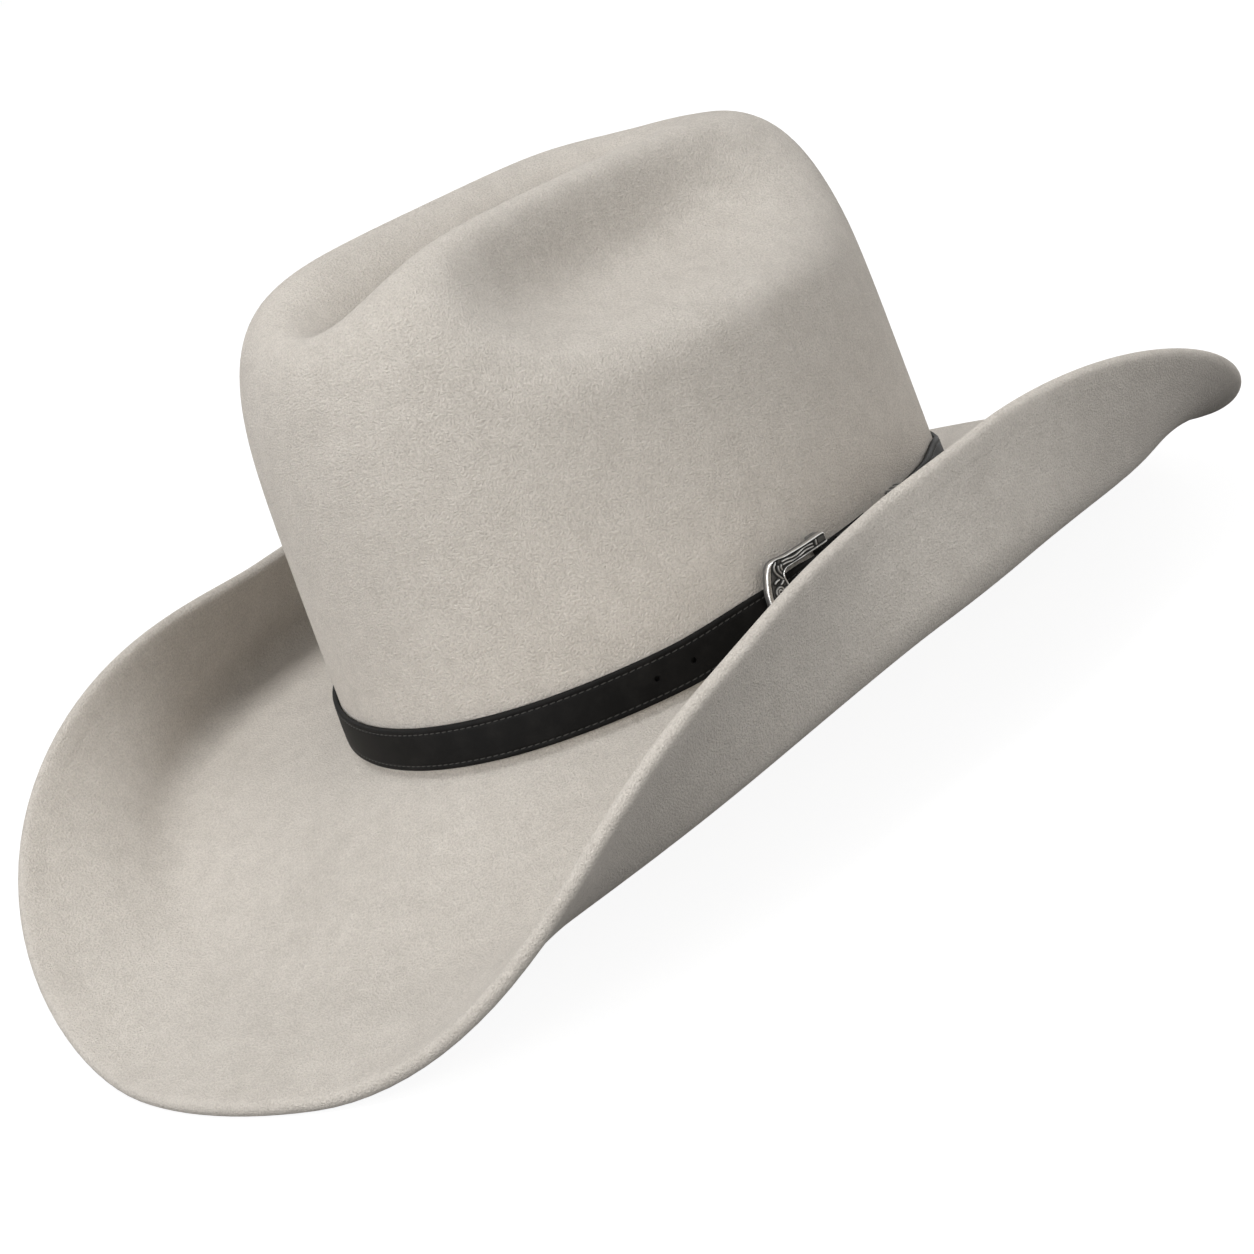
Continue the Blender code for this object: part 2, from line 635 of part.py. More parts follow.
def frame_outline():
    """Outer and inner edges of the frame, from the heel's upper end round to its lower end."""
    front = -FRAME_LENGTH
    bar = front + FRAME_BAR
    upper = [
        (HEEL_LUG, RAIL_OUTER - FRAME_SCALLOP, RAIL_INNER, HEEL_LUG),
        (-HEEL_LUG, RAIL_OUTER, RAIL_INNER, -HEEL_LUG),
        (0.30 * front, RAIL_OUTER - 0.6 * FRAME_SCALLOP, RAIL_INNER, 0.27 * front),
        (0.55 * front, RAIL_OUTER, RAIL_INNER, 0.5 * front),
        (0.76 * front, RAIL_OUTER - 0.25 * FRAME_SCALLOP, RAIL_INNER, 0.68 * front),
        (0.86 * front, 0.86 * RAIL_OUTER, 0.94 * RAIL_INNER, bar + 0.10 * FRAME_LENGTH),
        (0.90 * front, 0.62 * RAIL_OUTER, 0.72 * RAIL_INNER, bar + 0.04 * FRAME_LENGTH),
        (0.92 * front, 0.36 * RAIL_OUTER, 0.42 * RAIL_INNER, bar + 0.02 * FRAME_LENGTH),
        (front + FRAME_LOBE / 4, 0.16 * RAIL_OUTER, 0.18 * RAIL_INNER, bar),
    ]
    lower = [(outer, -high, -low, inner) for outer, high, low, inner in reversed(upper)]
    tip = (front, 0.0, 0.0, bar)
    return [*upper, tip, *lower]


def buckle_frame(material):
    """Scalloped frame that is open at the heel, where a round bar closes it."""
    origin, axis = heel_bar_axis()
    middle = strap_middle()
    sections = []
    for outer_along, outer_up, inner_up, inner_along in frame_outline():
        heel = float(smooth(-2 * HEEL_LUG, -HEEL_LUG, outer_along))
        under = FRAME_UNDER + (HEEL_BAR_OUT - HEEL_BAR_RADIUS - CLEARANCE - FRAME_UNDER) * heel
        shoulder = FRAME_TOP - FRAME_CHAMFER

        def at(share, out):
            along = outer_along + (inner_along - outer_along) * share
            up = outer_up + (inner_up - outer_up) * share
            return wrap(along, out, middle + FRAME_SHIFT + up)

        sections.append([at(0.0, under), at(0.0, shoulder), at(0.2, FRAME_TOP), at(0.8, FRAME_TOP),
                         at(1.0, shoulder), at(1.0, under)])
    frame = place("buckle_frame", loft(sections), material, origin)
    low, high = (Vector(end) for end in heel_bar_ends(RAIL_INNER + FRAME_RAIL / 2))
    bar = bmesh.new()
    bmesh.ops.create_cone(bar, cap_ends=True, segments=BAR_SIDES, radius1=HEEL_BAR_RADIUS,
                          radius2=HEEL_BAR_RADIUS, depth=(high - low).length)
    turn = axis.to_track_quat("Z", "Y").to_matrix().to_4x4()
    bmesh.ops.transform(bar, matrix=turn, verts=bar.verts)
    bmesh.ops.translate(bar, verts=bar.verts, vec=(low + high) / 2)
    combine(frame, guide("heel_bar", bar), "UNION")


def buckle_prong(material):
    """Tongue with an eye round the heel bar; it comes up through the strap to the outer bar."""
    origin, _ = heel_bar_axis()
    middle = strap_middle()
    half = PRONG_WIDTH / 2
    eye_inner = HEEL_BAR_RADIUS + CLEARANCE
    eye_outer = eye_inner + PRONG_EYE
    eye = []
    for k in range(EYE_SIDES):
        turn = 2.0 * math.pi * k / EYE_SIDES
        section = []
        for radius, up in ((eye_inner, -half), (eye_outer, -half), (eye_outer, half), (eye_inner, half)):
            along, out = radius * math.cos(turn), HEEL_BAR_OUT + radius * math.sin(turn)
            section.append(wrap(along, out, middle + up))
        eye.append(section)
    prong = place("buckle_prong", loft(eye, closed=True), material, origin)
    over_bar = FRAME_TOP + CLEARANCE + PRONG_THICKNESS / 2
    over_strap = BILLET_HIGH + STRAP + CLEARANCE + PRONG_THICKNESS / 2
    root = (eye_inner + eye_outer) / 2
    line = [
        (-0.75 * root, HEEL_BAR_OUT + 0.66 * root),
        (-2.0 * root, BILLET_HIGH + 0.2 * STRAP),
        (-3.6 * root, over_strap - PRONG_ARCH / 3),
        (-0.40 * FRAME_LENGTH, over_strap + PRONG_ARCH / 3),
        (-0.72 * FRAME_LENGTH, over_bar + PRONG_ARCH),
        (-FRAME_LENGTH + FRAME_BAR / 2, over_bar + PRONG_ARCH / 6),
        (-FRAME_LENGTH + 0.1 * FRAME_BAR, over_bar),
    ]
    shaft = []
    for k, (along, out) in enumerate(line):
        before, after = line[max(k - 1, 0)], line[min(k + 1, len(line) - 1)]
        run = np.array(after) - np.array(before)
        square = np.array((-run[1], run[0])) / np.linalg.norm(run) * PRONG_THICKNESS / 2
        narrow = half * (1.0 - 0.35 * k / (len(line) - 1))
        corners = ((-1, -narrow), (1, -narrow), (1, narrow), (-1, narrow))
        section = []
        for side, up in corners:
            section.append(wrap(along + side * square[0], out + side * square[1], middle + up))
        shaft.append(section)
    combine(prong, guide("prong_shaft", loft(shaft)), "UNION")


def strap_keeper(material):
    """Metal loop that holds the strap's free end down and slides along it."""
    foot = strap_foot(KEEPER_PLACE)
    inner = (KEEPER_UNDER + KEEPER, KEEPER_OVER, foot - CLEARANCE, foot + STRAP_WIDTH + CLEARANCE)
    outer = (KEEPER_UNDER, KEEPER_OVER + KEEPER, inner[2] - KEEPER, inner[3] + KEEPER)

    def corners(box, along):
        return [wrap(along, box[i], box[j]) for i, j in ((0, 2), (1, 2), (1, 3), (0, 3))]

    stations = [KEEPER_PLACE - KEEPER_LENGTH / 2, KEEPER_PLACE + KEEPER_LENGTH / 2]
    near_outer, far_outer = (corners(outer, along) for along in stations)
    near_inner, far_inner = (corners(inner, along) for along in stations)
    sections = list(zip(near_outer, far_outer, far_inner, near_inner))
    place("strap_keeper", loft(sections, closed=True), material, Vector(keeper_centre()))


def keeper_centre():
    """Centre of the crown's curve at the keeper, about which the keeper slides round the band."""
    step = 4 * MM
    points = [wrap(KEEPER_PLACE + k * step, 0.0, strap_middle(KEEPER_PLACE)) for k in (-1, 0, 1)]
    one, two = points[1] - points[0], points[2] - points[1]
    cosine = np.dot(one, two) / np.linalg.norm(one) / np.linalg.norm(two)
    radius = step / math.acos(float(np.clip(cosine, -1.0, 1.0)))
    angle = float(np.interp(KEEPER_PLACE, TABLE_LENGTHS, TABLE_ANGLES))
    return points[1] - radius * np.append(oval_normal(angle), 0.0)


def strap_tip(material):
    """Pointed metal plate on the strap's free end."""
    under = BILLET_LOW + STRAP + CLEARANCE
    middle = strap_middle(TIP_REACH)
    half = STRAP_WIDTH / 2
    start = TIP_REACH - TIP_LENGTH
    outline = [(start, half), (start + 0.2 * TIP_LENGTH, 0.94 * half), (start + 0.55 * TIP_LENGTH, half),
               (start + 0.85 * TIP_LENGTH, 0.62 * half), (TIP_REACH, 0.16 * half)]
    sections = []
    for along, reach in outline:
        ridge = under + TIP_PLATE
        corners = ((under, -reach), (ridge, -0.8 * reach), (ridge + TIP_RIDGE, 0.0),
                   (ridge, 0.8 * reach), (under, reach))
        sections.append([wrap(along, out, middle + up) for out, up in corners])
    place("strap_tip", loft(sections), material)


def build_hat():
    """Make every piece."""
    remove_everything()
    felt = finish("silver grey felt", (0.50, 0.465, 0.425), 0.95)
    black_leather = finish("black leather", (0.012, 0.011, 0.011), 0.45)
    sweat_leather = finish("tan roan leather", (0.30, 0.17, 0.09), 0.6)
    satin = finish("cream satin", (0.62, 0.55, 0.44), 0.35)
    tape = finish("woven tape", (0.55, 0.50, 0.42), 0.9)
    ribbon = finish("grosgrain ribbon", (0.10, 0.085, 0.075), 0.7)
    silver = finish("antique silver", (0.55, 0.54, 0.52), 0.32, 1.0)
    felt_body(felt)
    linings(satin)
    sweatband(sweat_leather)
    reed_tape(tape)
    sweatband_reed(tape)
    rear_bow(ribbon)
    hatband_strap(black_leather)
    buckle_chape(black_leather)
    buckle_frame(silver)
    buckle_prong(silver)
    strap_keeper(silver)
    strap_tip(silver)
    origin, axis = heel_bar_axis()
    print("heel bar", [round(v, 6) for v in origin], [round(v, 6) for v in axis])
    print("keeper centre", [round(float(v), 6) for v in keeper_centre()])


build_hat()
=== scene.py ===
# %% [markdown]
# A western felt hat, dressed
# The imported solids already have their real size, their places and their joints, so this script
# never moves them. It hides each solid and makes a finer piece in the same place, which rides on
# the same body: napped felt, stitched leather, engraved silver, satin and ribbon.

# %% Load the solids
import math

import bmesh
import bpy
import numpy as np
from mathutils import Matrix, Vector


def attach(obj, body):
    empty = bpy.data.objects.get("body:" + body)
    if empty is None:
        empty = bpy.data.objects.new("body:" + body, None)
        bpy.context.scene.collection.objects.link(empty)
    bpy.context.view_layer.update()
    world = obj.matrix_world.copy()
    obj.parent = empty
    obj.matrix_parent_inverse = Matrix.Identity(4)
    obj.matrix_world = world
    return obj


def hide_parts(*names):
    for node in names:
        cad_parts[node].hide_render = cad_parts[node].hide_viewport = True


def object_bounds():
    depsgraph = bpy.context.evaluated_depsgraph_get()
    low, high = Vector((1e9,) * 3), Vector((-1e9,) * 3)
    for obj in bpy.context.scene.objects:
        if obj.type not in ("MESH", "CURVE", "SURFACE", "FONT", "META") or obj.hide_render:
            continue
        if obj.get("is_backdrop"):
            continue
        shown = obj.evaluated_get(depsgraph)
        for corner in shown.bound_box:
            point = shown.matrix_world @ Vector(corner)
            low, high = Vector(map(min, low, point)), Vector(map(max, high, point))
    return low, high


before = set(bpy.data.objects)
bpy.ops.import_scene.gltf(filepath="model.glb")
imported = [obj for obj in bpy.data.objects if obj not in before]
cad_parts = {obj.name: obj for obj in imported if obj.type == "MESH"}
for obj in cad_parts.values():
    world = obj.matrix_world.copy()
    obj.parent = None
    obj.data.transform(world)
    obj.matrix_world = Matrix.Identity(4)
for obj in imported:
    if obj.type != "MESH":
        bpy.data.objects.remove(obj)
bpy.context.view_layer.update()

MM = 0.001

# %% [markdown]
# The head oval
# Everything on a hat follows the oval of the head. A plan angle says where we are round it, 0 at
# the wearer's left and a quarter turn at the rear. Heights are taken from the brim break, the line
# where crown and brim meet, which dips a little at the front and the rear.

# %% The head oval and the brim break
OVAL_HALF_LENGTH = 104.0 * MM
OVAL_HALF_WIDTH = 86.0 * MM
BREAK_DIP_FRONT = 3.4 * MM
BREAK_DIP_REAR = 7.4 * MM
BREAK_RADIUS = 2.0 * MM
FELT = 2.8 * MM


def smooth(low, high, value):
    """Ease from 0 at low to 1 at high."""
    share = np.clip((np.asarray(value, float) - low) / (high - low), 0.0, 1.0)
    return share * share * (3.0 - 2.0 * share)


def peak(value, middle, half):
    """1 at the middle, easing to 0 beside it."""
    return np.exp(-((value - middle) / half) ** 2)


def full_turn(count):
    """Angles at even steps once round a circle."""
    return 2.0 * math.pi * np.arange(count) / count


def squared(wave, power):
    """A wave with fuller flanks, which makes a rounded square of a circle."""
    return np.sign(wave) * np.abs(wave) ** power


def unit(vectors):
    """Vectors of length one."""
    return vectors / np.linalg.norm(vectors, axis=-1, keepdims=True)


def oval_normal(angle):
    """Outward plan direction of the head oval."""
    return unit(np.stack([np.cos(angle) / OVAL_HALF_WIDTH, np.sin(angle) / OVAL_HALF_LENGTH], -1))


def oval(angle, out=0.0):
    """Plan point of the head oval, moved outwards square to it."""
    point = np.stack([OVAL_HALF_WIDTH * np.cos(angle), OVAL_HALF_LENGTH * np.sin(angle)], -1)
    return point + np.asarray(out)[..., None] * oval_normal(angle)


def break_height(angle):
    """Height of the brim break."""
    along = np.sin(angle)
    return -np.where(along < 0, BREAK_DIP_FRONT, BREAK_DIP_REAR) * along ** 2


def walked(points):
    """Length walked along a line of points, from its first point."""
    return np.concatenate([[0.0], np.cumsum(np.linalg.norm(np.diff(points, axis=0), axis=-1))])


def even_angles(count, out):
    """Plan angles at even steps along an oval that lies a distance out."""
    fine = np.linspace(0.0, 2.0 * math.pi, 4001)
    length = walked(oval(fine, np.full(len(fine), out)))
    return np.interp(np.linspace(0.0, length[-1], count, endpoint=False), length, fine)


print("girth of the crown: %.0f mm" % (1000 * walked(oval(np.linspace(0, 2 * math.pi, 999))).max()))

# %% [markdown]
# The brim
# The brim leaves the crown and then curls: hardly at all at the front and the rear, past upright at
# the sides, and further on the right than on the left. Its section is therefore drawn as a slope
# that changes along the felt, and summed up into a curve, so the felt keeps its width however hard
# it is rolled. The values are for the front, the rear, the left and the right; the left side also
# has a slight waist and, further forward, a shoulder.

# %% The brim's section
BRIM_WIDTHS = (116.4 * MM, 98.3 * MM, 85.0 * MM, 86.2 * MM)
BRIM_START_SLOPES = (-23.1, -15.3, 4.5, 3.8)
BRIM_EDGE_SLOPES = (-9.6, -8.9, 97.9, 121.2)
BRIM_ROLL = (0.496, 0.669)
FRONT_SWEEP = (8.7, 75.9)
REAR_SWEEP = (18.5, 90.0)
WAIST_PLACE = (-23.5, 11.5)
WAIST_NARROWING = 5.3 * MM
WAIST_DROP = 1.9
SHOULDER_PLACE = (-50.8, 11.2)
SHOULDER_LIFT = 10.5
FULL_SWEEP = (0.0, 90.0)
BRIM_SUM_STEPS = 160


def round_the_oval(angle, values, front_sweep, rear_sweep):
    """Value at a plan angle, from those at the front, the rear, the left and the right."""
    front, rear, left, right = values
    along = np.sin(angle)
    side = np.where(np.cos(angle) >= 0, left, right)
    turn = np.degrees(np.arccos(np.clip(np.abs(along), 0.0, 1.0)))
    share = np.where(along < 0, smooth(*front_sweep, turn), smooth(*rear_sweep, turn))
    end = np.where(along < 0, front, rear)
    return end + (side - end) * share


def bump(angle, place, spread):
    """1 at a place on the left, in degrees behind the side's middle, easing to 0 around it."""
    turn = np.degrees(np.arcsin(np.sin(angle)))
    return peak(turn, place, spread) * (np.cos(angle) >= 0)


def brim_width(angle):
    """Width of the brim along the felt, with a slight waist on the left."""
    width = round_the_oval(angle, BRIM_WIDTHS, FULL_SWEEP, FULL_SWEEP)
    return width - WAIST_NARROWING * bump(angle, *WAIST_PLACE)


def brim_points(angle, from_edge):
    """Points of the brim's upper face at one plan angle, at distances in from its edge."""
    width = brim_width(angle)
    start = round_the_oval(angle, BRIM_START_SLOPES, FRONT_SWEEP, REAR_SWEEP)
    start = start - WAIST_DROP * bump(angle, *WAIST_PLACE)
    edge = round_the_oval(angle, BRIM_EDGE_SLOPES, FRONT_SWEEP, REAR_SWEEP)
    edge = edge + SHOULDER_LIFT * bump(angle, *SHOULDER_PLACE)
    marks = np.linspace(0.0, 1.0, BRIM_SUM_STEPS + 1)
    middles = (marks[1:] + marks[:-1]) / 2
    slope = np.radians(start + (edge - start) * smooth(*BRIM_ROLL, middles))
    step = width / len(middles)
    reach = np.concatenate([[0.0], np.cumsum(np.cos(slope) * step)])
    climb = np.concatenate([[0.0], np.cumsum(np.sin(slope) * step)])
    share = 1.0 - np.asarray(from_edge) / width
    out = BREAK_RADIUS + np.interp(share, marks, reach)
    height = break_height(angle) + np.interp(share, marks, climb)
    return np.column_stack([oval(np.full(len(share), angle), out), height])


print("brim at the side ends %.0f mm up" % (1000 * brim_points(0.0, [0.0])[0, 2]))

# %% [markdown]
# The crown
# A felt crown starts as an open dome. The hatter then presses one long crease into the top and a
# dent into each side of it, steaming the felt so that it stretches. The script does the same: a
# squared dome, then three soft hollows that sink it and push it in.

# %% The crown's dome, crease and dents
CROWN_HEIGHT = 131.8 * MM
CROWN_FALL_TO_REAR = 7.3 * MM
CROWN_LEAN = 3.5 * MM
CROWN_TAPER_LENGTH = -0.013
CROWN_TAPER_WIDTH = 0.115
CROWN_PLAN_SQUARENESS = 5.86
CROWN_WALL_SQUARENESS = 6.74
CREASE_DEPTH = 24.3 * MM
CREASE_HALF_WIDTH = 15.6 * MM
CREASE_FRONT = -100.9 * MM
CREASE_FRONT_FADE = 38.0 * MM
CREASE_REAR = 86.0 * MM
CREASE_REAR_FADE = 54.0 * MM
DENT_DEPTH = 33.5 * MM
DENT_X = 63.6 * MM
DENT_Y = -15.6 * MM
DENT_TURN = math.radians(2.3)
DENT_LENGTH_FRONT = 61.1 * MM
DENT_LENGTH_REAR = 86.0 * MM
DENT_HALF_WIDTH = 22.6 * MM
DENT_PUSH_IN = math.radians(38.6)
DENT_CLIMB = -0.19
DENT_WALL_CURVE = 2.9
DENT_END_CURVE = 2.63
PRESSED = (0.608, 1.0)


def crown_surface(angle, rise):
    """Points of the crown's outer face: rise 0 is the brim break, pi / 2 the middle of the top."""
    angle, rise = np.broadcast_arrays(np.asarray(angle, float), np.asarray(rise, float))
    spread = np.clip(np.cos(rise), 0.0, 1.0) ** (2.0 / CROWN_PLAN_SQUARENESS)
    share = np.clip(np.sin(rise), 0.0, 1.0) ** (2.0 / CROWN_WALL_SQUARENESS)
    x = OVAL_HALF_WIDTH * np.cos(angle) * spread * (1.0 - CROWN_TAPER_WIDTH * share)
    y = OVAL_HALF_LENGTH * np.sin(angle) * spread * (1.0 - CROWN_TAPER_LENGTH * share)
    y = y + CROWN_LEAN * share
    top = CROWN_HEIGHT - CROWN_FALL_TO_REAR * y / OVAL_HALF_LENGTH
    z = top * share + break_height(angle) * (1.0 - share)
    pressed = smooth(*PRESSED, share)
    crease_front = smooth(CREASE_FRONT, CREASE_FRONT + CREASE_FRONT_FADE, y)
    crease_rear = 1.0 - smooth(CREASE_REAR - CREASE_REAR_FADE, CREASE_REAR, y)
    sink = CREASE_DEPTH * crease_front * crease_rear * peak(x, 0.0, CREASE_HALF_WIDTH) * pressed
    inward = np.zeros_like(x)
    for side in (1.0, -1.0):
        dx, dy = x - side * DENT_X, y - DENT_Y
        along = dx * math.sin(side * DENT_TURN) + dy * math.cos(DENT_TURN)
        across = side * (dx * math.cos(DENT_TURN) - dy * math.sin(side * DENT_TURN))
        across = across + DENT_CLIMB * CROWN_HEIGHT * (1.0 - share)
        length = np.where(along < 0, DENT_LENGTH_FRONT, DENT_LENGTH_REAR)
        end_fade = np.abs(along / length) ** DENT_END_CURVE
        wall_fade = np.abs(across / DENT_HALF_WIDTH) ** DENT_WALL_CURVE
        dent = DENT_DEPTH * np.exp(-end_fade - wall_fade) * pressed
        sink = sink + dent * math.cos(DENT_PUSH_IN)
        inward = inward + side * dent * math.sin(DENT_PUSH_IN)
    return np.stack([x - inward, y, z - sink], -1)


def crown_normal(angle, rise):
    """Outward direction of the crown's outer face."""
    step = 1e-4
    angle, rise = np.broadcast_arrays(np.asarray(angle, float), np.asarray(rise, float))
    low = np.clip(rise - step, 1e-5, math.pi / 2 - 3 * step)
    across = crown_surface(angle + step, low + step) - crown_surface(angle - step, low + step)
    upwards = crown_surface(angle, low + 2 * step) - crown_surface(angle, low)
    return unit(np.cross(across, upwards))


def rise_at_height(angle, height):
    """Rise at which the crown's wall is a height above the brim break."""
    top = CROWN_HEIGHT - CROWN_FALL_TO_REAR * np.sin(angle) - break_height(angle)
    share = np.clip(np.asarray(height, float) / top, 0.0, 1.0)
    return np.arcsin(share ** (CROWN_WALL_SQUARENESS / 2.0))


def crown_rows(count):
    """Rises at even steps up the crown's undented profile."""
    fine = np.linspace(0.0, math.pi / 2, 4000)
    spread = OVAL_HALF_WIDTH * np.cos(fine) ** (2.0 / CROWN_PLAN_SQUARENESS)
    climb = CROWN_HEIGHT * np.sin(fine) ** (2.0 / CROWN_WALL_SQUARENESS)
    length = walked(np.column_stack([spread, climb]))
    return np.interp(np.linspace(0.0, length[-1], count + 1), length, fine)


print("crown's highest point: %.1f mm" % (1000 * crown_surface(
    np.linspace(0, 6.3, 300)[:, None], np.linspace(0, 1.5707, 300)[None])[..., 2].max()))

# %% [markdown]
# Tools for making meshes
# Nearly every piece here is a skin through rows of points, so one function makes them all from a
# numpy array. Stitches are another thing that repeats: one small thread shape, copied along a
# line into a single mesh, is far lighter than hundreds of objects.

# %% Skins and threads
SMOOTH_LIMIT = math.radians(50.0)
THREAD_SIDES = 6


def mesh_piece(name, points, faces):
    """An object of points and faces, its faces turned outwards."""
    mesh = bpy.data.meshes.new(name)
    mesh.from_pydata(np.asarray(points).tolist(), [], faces)
    shell = bmesh.new()
    shell.from_mesh(mesh)
    bmesh.ops.recalc_face_normals(shell, faces=shell.faces)
    shell.to_mesh(mesh)
    shell.free()
    mesh.shade_smooth()
    mesh.set_sharp_from_angle(angle=SMOOTH_LIMIT)
    piece = bpy.data.objects.new(name, mesh)
    bpy.context.scene.collection.objects.link(piece)
    return piece


def skin(name, rows, first=None, last=None, capped=False, ring=True, loop=False):
    """A skin over rows of points. ring joins each row's ends, loop joins the last row to the first."""
    rows = np.asarray(rows, float)
    count, width = rows.shape[:2]
    number = np.arange(count * width).reshape(count, width)
    if ring:
        number = np.column_stack([number, number[:, 0]])
    if loop:
        number = np.vstack([number, number[:1]])
    corners = (number[:-1, :-1], number[:-1, 1:], number[1:, 1:], number[1:, :-1])
    faces = np.stack([corner.ravel() for corner in corners], -1).tolist()
    points = rows.reshape(-1, 3)
    for tip, row in ((first, number[0]), (last, number[-1])):
        if tip is not None:
            faces += [(a, b, len(points)) for a, b in zip(row[:-1].tolist(), row[1:].tolist())]
            points = np.vstack([points, tip])
    if capped:
        faces += [number[0, :-1].tolist(), number[-1, :-1].tolist()]
    return mesh_piece(name, points, faces)


def stations(points, pitch, closed):
    """Start and end of each stitch on a line, as lengths walked along it."""
    line = np.vstack([points, points[:1]]) if closed else points
    length = walked(line)
    count = int(round(length[-1] / pitch))
    return line, length, np.arange(count) * length[-1] / count


def threads(name, line, outward, pitch, stitch, radius, closed=True, sink=0.25, slant=0.0):
    """A row of stitches along a line that lies on a face with the given outward directions."""
    line, length, starts = stations(np.asarray(line), pitch, closed)
    outward = np.vstack([outward, outward[:1]]) if closed else np.asarray(outward)

    def at(values, where):
        return np.stack([np.interp(where, length, values[:, i]) for i in range(3)], -1)

    one, other = at(line, starts), at(line, np.minimum(starts + stitch, length[-1]))
    face = unit(at(outward, starts + stitch / 2))
    half = (other - one) / 2
    side = unit(np.cross(face, half))
    half = half + side * slant
    share = np.array([-0.96, -0.72, 0.0, 0.72, 0.96])
    plump = radius * np.array([0.42, 0.86, 1.0, 0.86, 0.42])
    turn = full_turn(THREAD_SIDES)
    ring = side[:, None, None] * np.cos(turn)[:, None] + face[:, None, None] * np.sin(turn)[:, None]
    lift = radius * (1.0 - sink * 2.0) * (1.0 - share ** 2) - sink * radius
    middle = (one + other)[:, None] / 2 + half[:, None] * share[:, None]
    middle = middle + face[:, None] * lift[:, None]
    points = middle[:, :, None] + plump[:, None, None] * ring
    ends = np.stack([(one + other) / 2 - half, (one + other) / 2 + half], 1)
    ends = ends - face[:, None] * radius * 0.6
    points = np.concatenate([points.reshape(len(starts), -1, 3), ends], 1)
    steps = [(k, (k + 1) % THREAD_SIDES) for k in range(THREAD_SIDES)]
    last = THREAD_SIDES * (len(share) - 1)
    faces = []
    for row in range(0, last, THREAD_SIDES):
        faces += [(row + a, row + b, row + b + THREAD_SIDES, row + a + THREAD_SIDES) for a, b in steps]
    for row, tip in ((0, last + THREAD_SIDES), (last, last + THREAD_SIDES + 1)):
        faces += [(row + a, row + b, tip) for a, b in steps]
    shift = points.shape[1]
    every = [tuple(v + n * shift for v in corners) for n in range(len(starts)) for corners in faces]
    return mesh_piece(name, points.reshape(-1, 3), every)


def bend(points, count):
    """A smooth line through points, at even steps."""
    points = np.asarray(points, float)
    ends = np.vstack([2 * points[0] - points[1], points, 2 * points[-1] - points[-2]])
    share = np.linspace(0.0, 1.0, 24, endpoint=False)[:, None]
    fine = []
    for a, b, c, d in zip(ends, ends[1:], ends[2:], ends[3:]):
        fine.append(0.5 * (2 * b + (c - a) * share + (2 * a - 5 * b + 4 * c - d) * share ** 2
                           + (3 * b - a - 3 * c + d) * share ** 3))
    fine = np.vstack([*fine, points[-1:]])
    length = walked(fine)
    where = np.linspace(0.0, length[-1], count)
    return np.stack([np.interp(where, length, fine[:, i]) for i in range(fine.shape[1])], -1)


def cut(piece, tools, operation="DIFFERENCE"):
    """Boolean of a piece with a tool mesh, applied at once."""
    modifier = piece.modifiers.new("cut", "BOOLEAN")
    modifier.operation = operation
    modifier.object = tools
    modifier.solver = "EXACT"
    made = bpy.data.meshes.new_from_object(piece.evaluated_get(bpy.context.evaluated_depsgraph_get()))
    piece.modifiers.clear()
    piece.data = made
    made.set_sharp_from_angle(angle=SMOOTH_LIMIT)
    bpy.data.objects.remove(tools, do_unlink=True)


def dress(piece, body, slot, finish, *nodes):
    """Put a piece in its place in the part: its body, its finish and the solids it hides. The slot is
    not used.
    """
    piece.data.materials.clear()
    piece.data.materials.append(finish)
    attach(piece, body)
    if nodes:
        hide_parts(*nodes)
    print("%s: %d faces" % (piece.name, len(piece.data.polygons)))


# %% [markdown]
# Writing finishes
# A finish is a node tree. To keep it readable, a socket is wrapped in a small class, so that the
# maths of a mask is written as Python and each operator adds its Math node. Every other node comes
# from one method, add, which also serves the world's tree.

# %% Sockets as values
class Wire:
    """A socket of a node tree. Python's operators on it add Math nodes."""

    def __init__(self, finish, socket):
        self.finish = finish
        self.socket = socket

    def maths(self, operation, *values):
        """A Math node of these values."""
        return self.finish.add("ShaderNodeMath", {"operation": operation}, dict(enumerate(values)))

    def __add__(self, other):
        return self.maths("ADD", self, other)

    def __sub__(self, other):
        return self.maths("SUBTRACT", self, other)

    def __rsub__(self, other):
        return self.maths("SUBTRACT", other, self)

    def __mul__(self, other):
        return self.maths("MULTIPLY", self, other)

    __radd__ = __add__
    __rmul__ = __mul__


class Nodes:
    """A node tree in the making."""

    def __init__(self, tree):
        self.tree = tree

    def add(self, kind, settings=None, sockets=None, out=0):
        """A node of a kind: its settings are made first, then its sockets are set or linked."""
        node = self.tree.nodes.new(kind)
        for key, value in (settings or {}).items():
            if key == "stops":
                ramp = node.color_ramp.elements
                while len(ramp) < len(value):
                    ramp.new(1.0)
                for stop, (position, colour) in zip(ramp, value):
                    stop.position = position
                    stop.color = (*colour, 1.0)
            else:
                setattr(node, key, value)
        for key, value in (sockets or {}).items():
            if isinstance(value, Wire):
                self.tree.links.new(value.socket, node.inputs[key])
            else:
                node.inputs[key].default_value = value
        return Wire(self, node.outputs[out])

    def show(self, shader, output):
        """Send a shader to the tree's output."""
        self.tree.links.new(shader.socket, self.tree.nodes[output].inputs["Surface"])


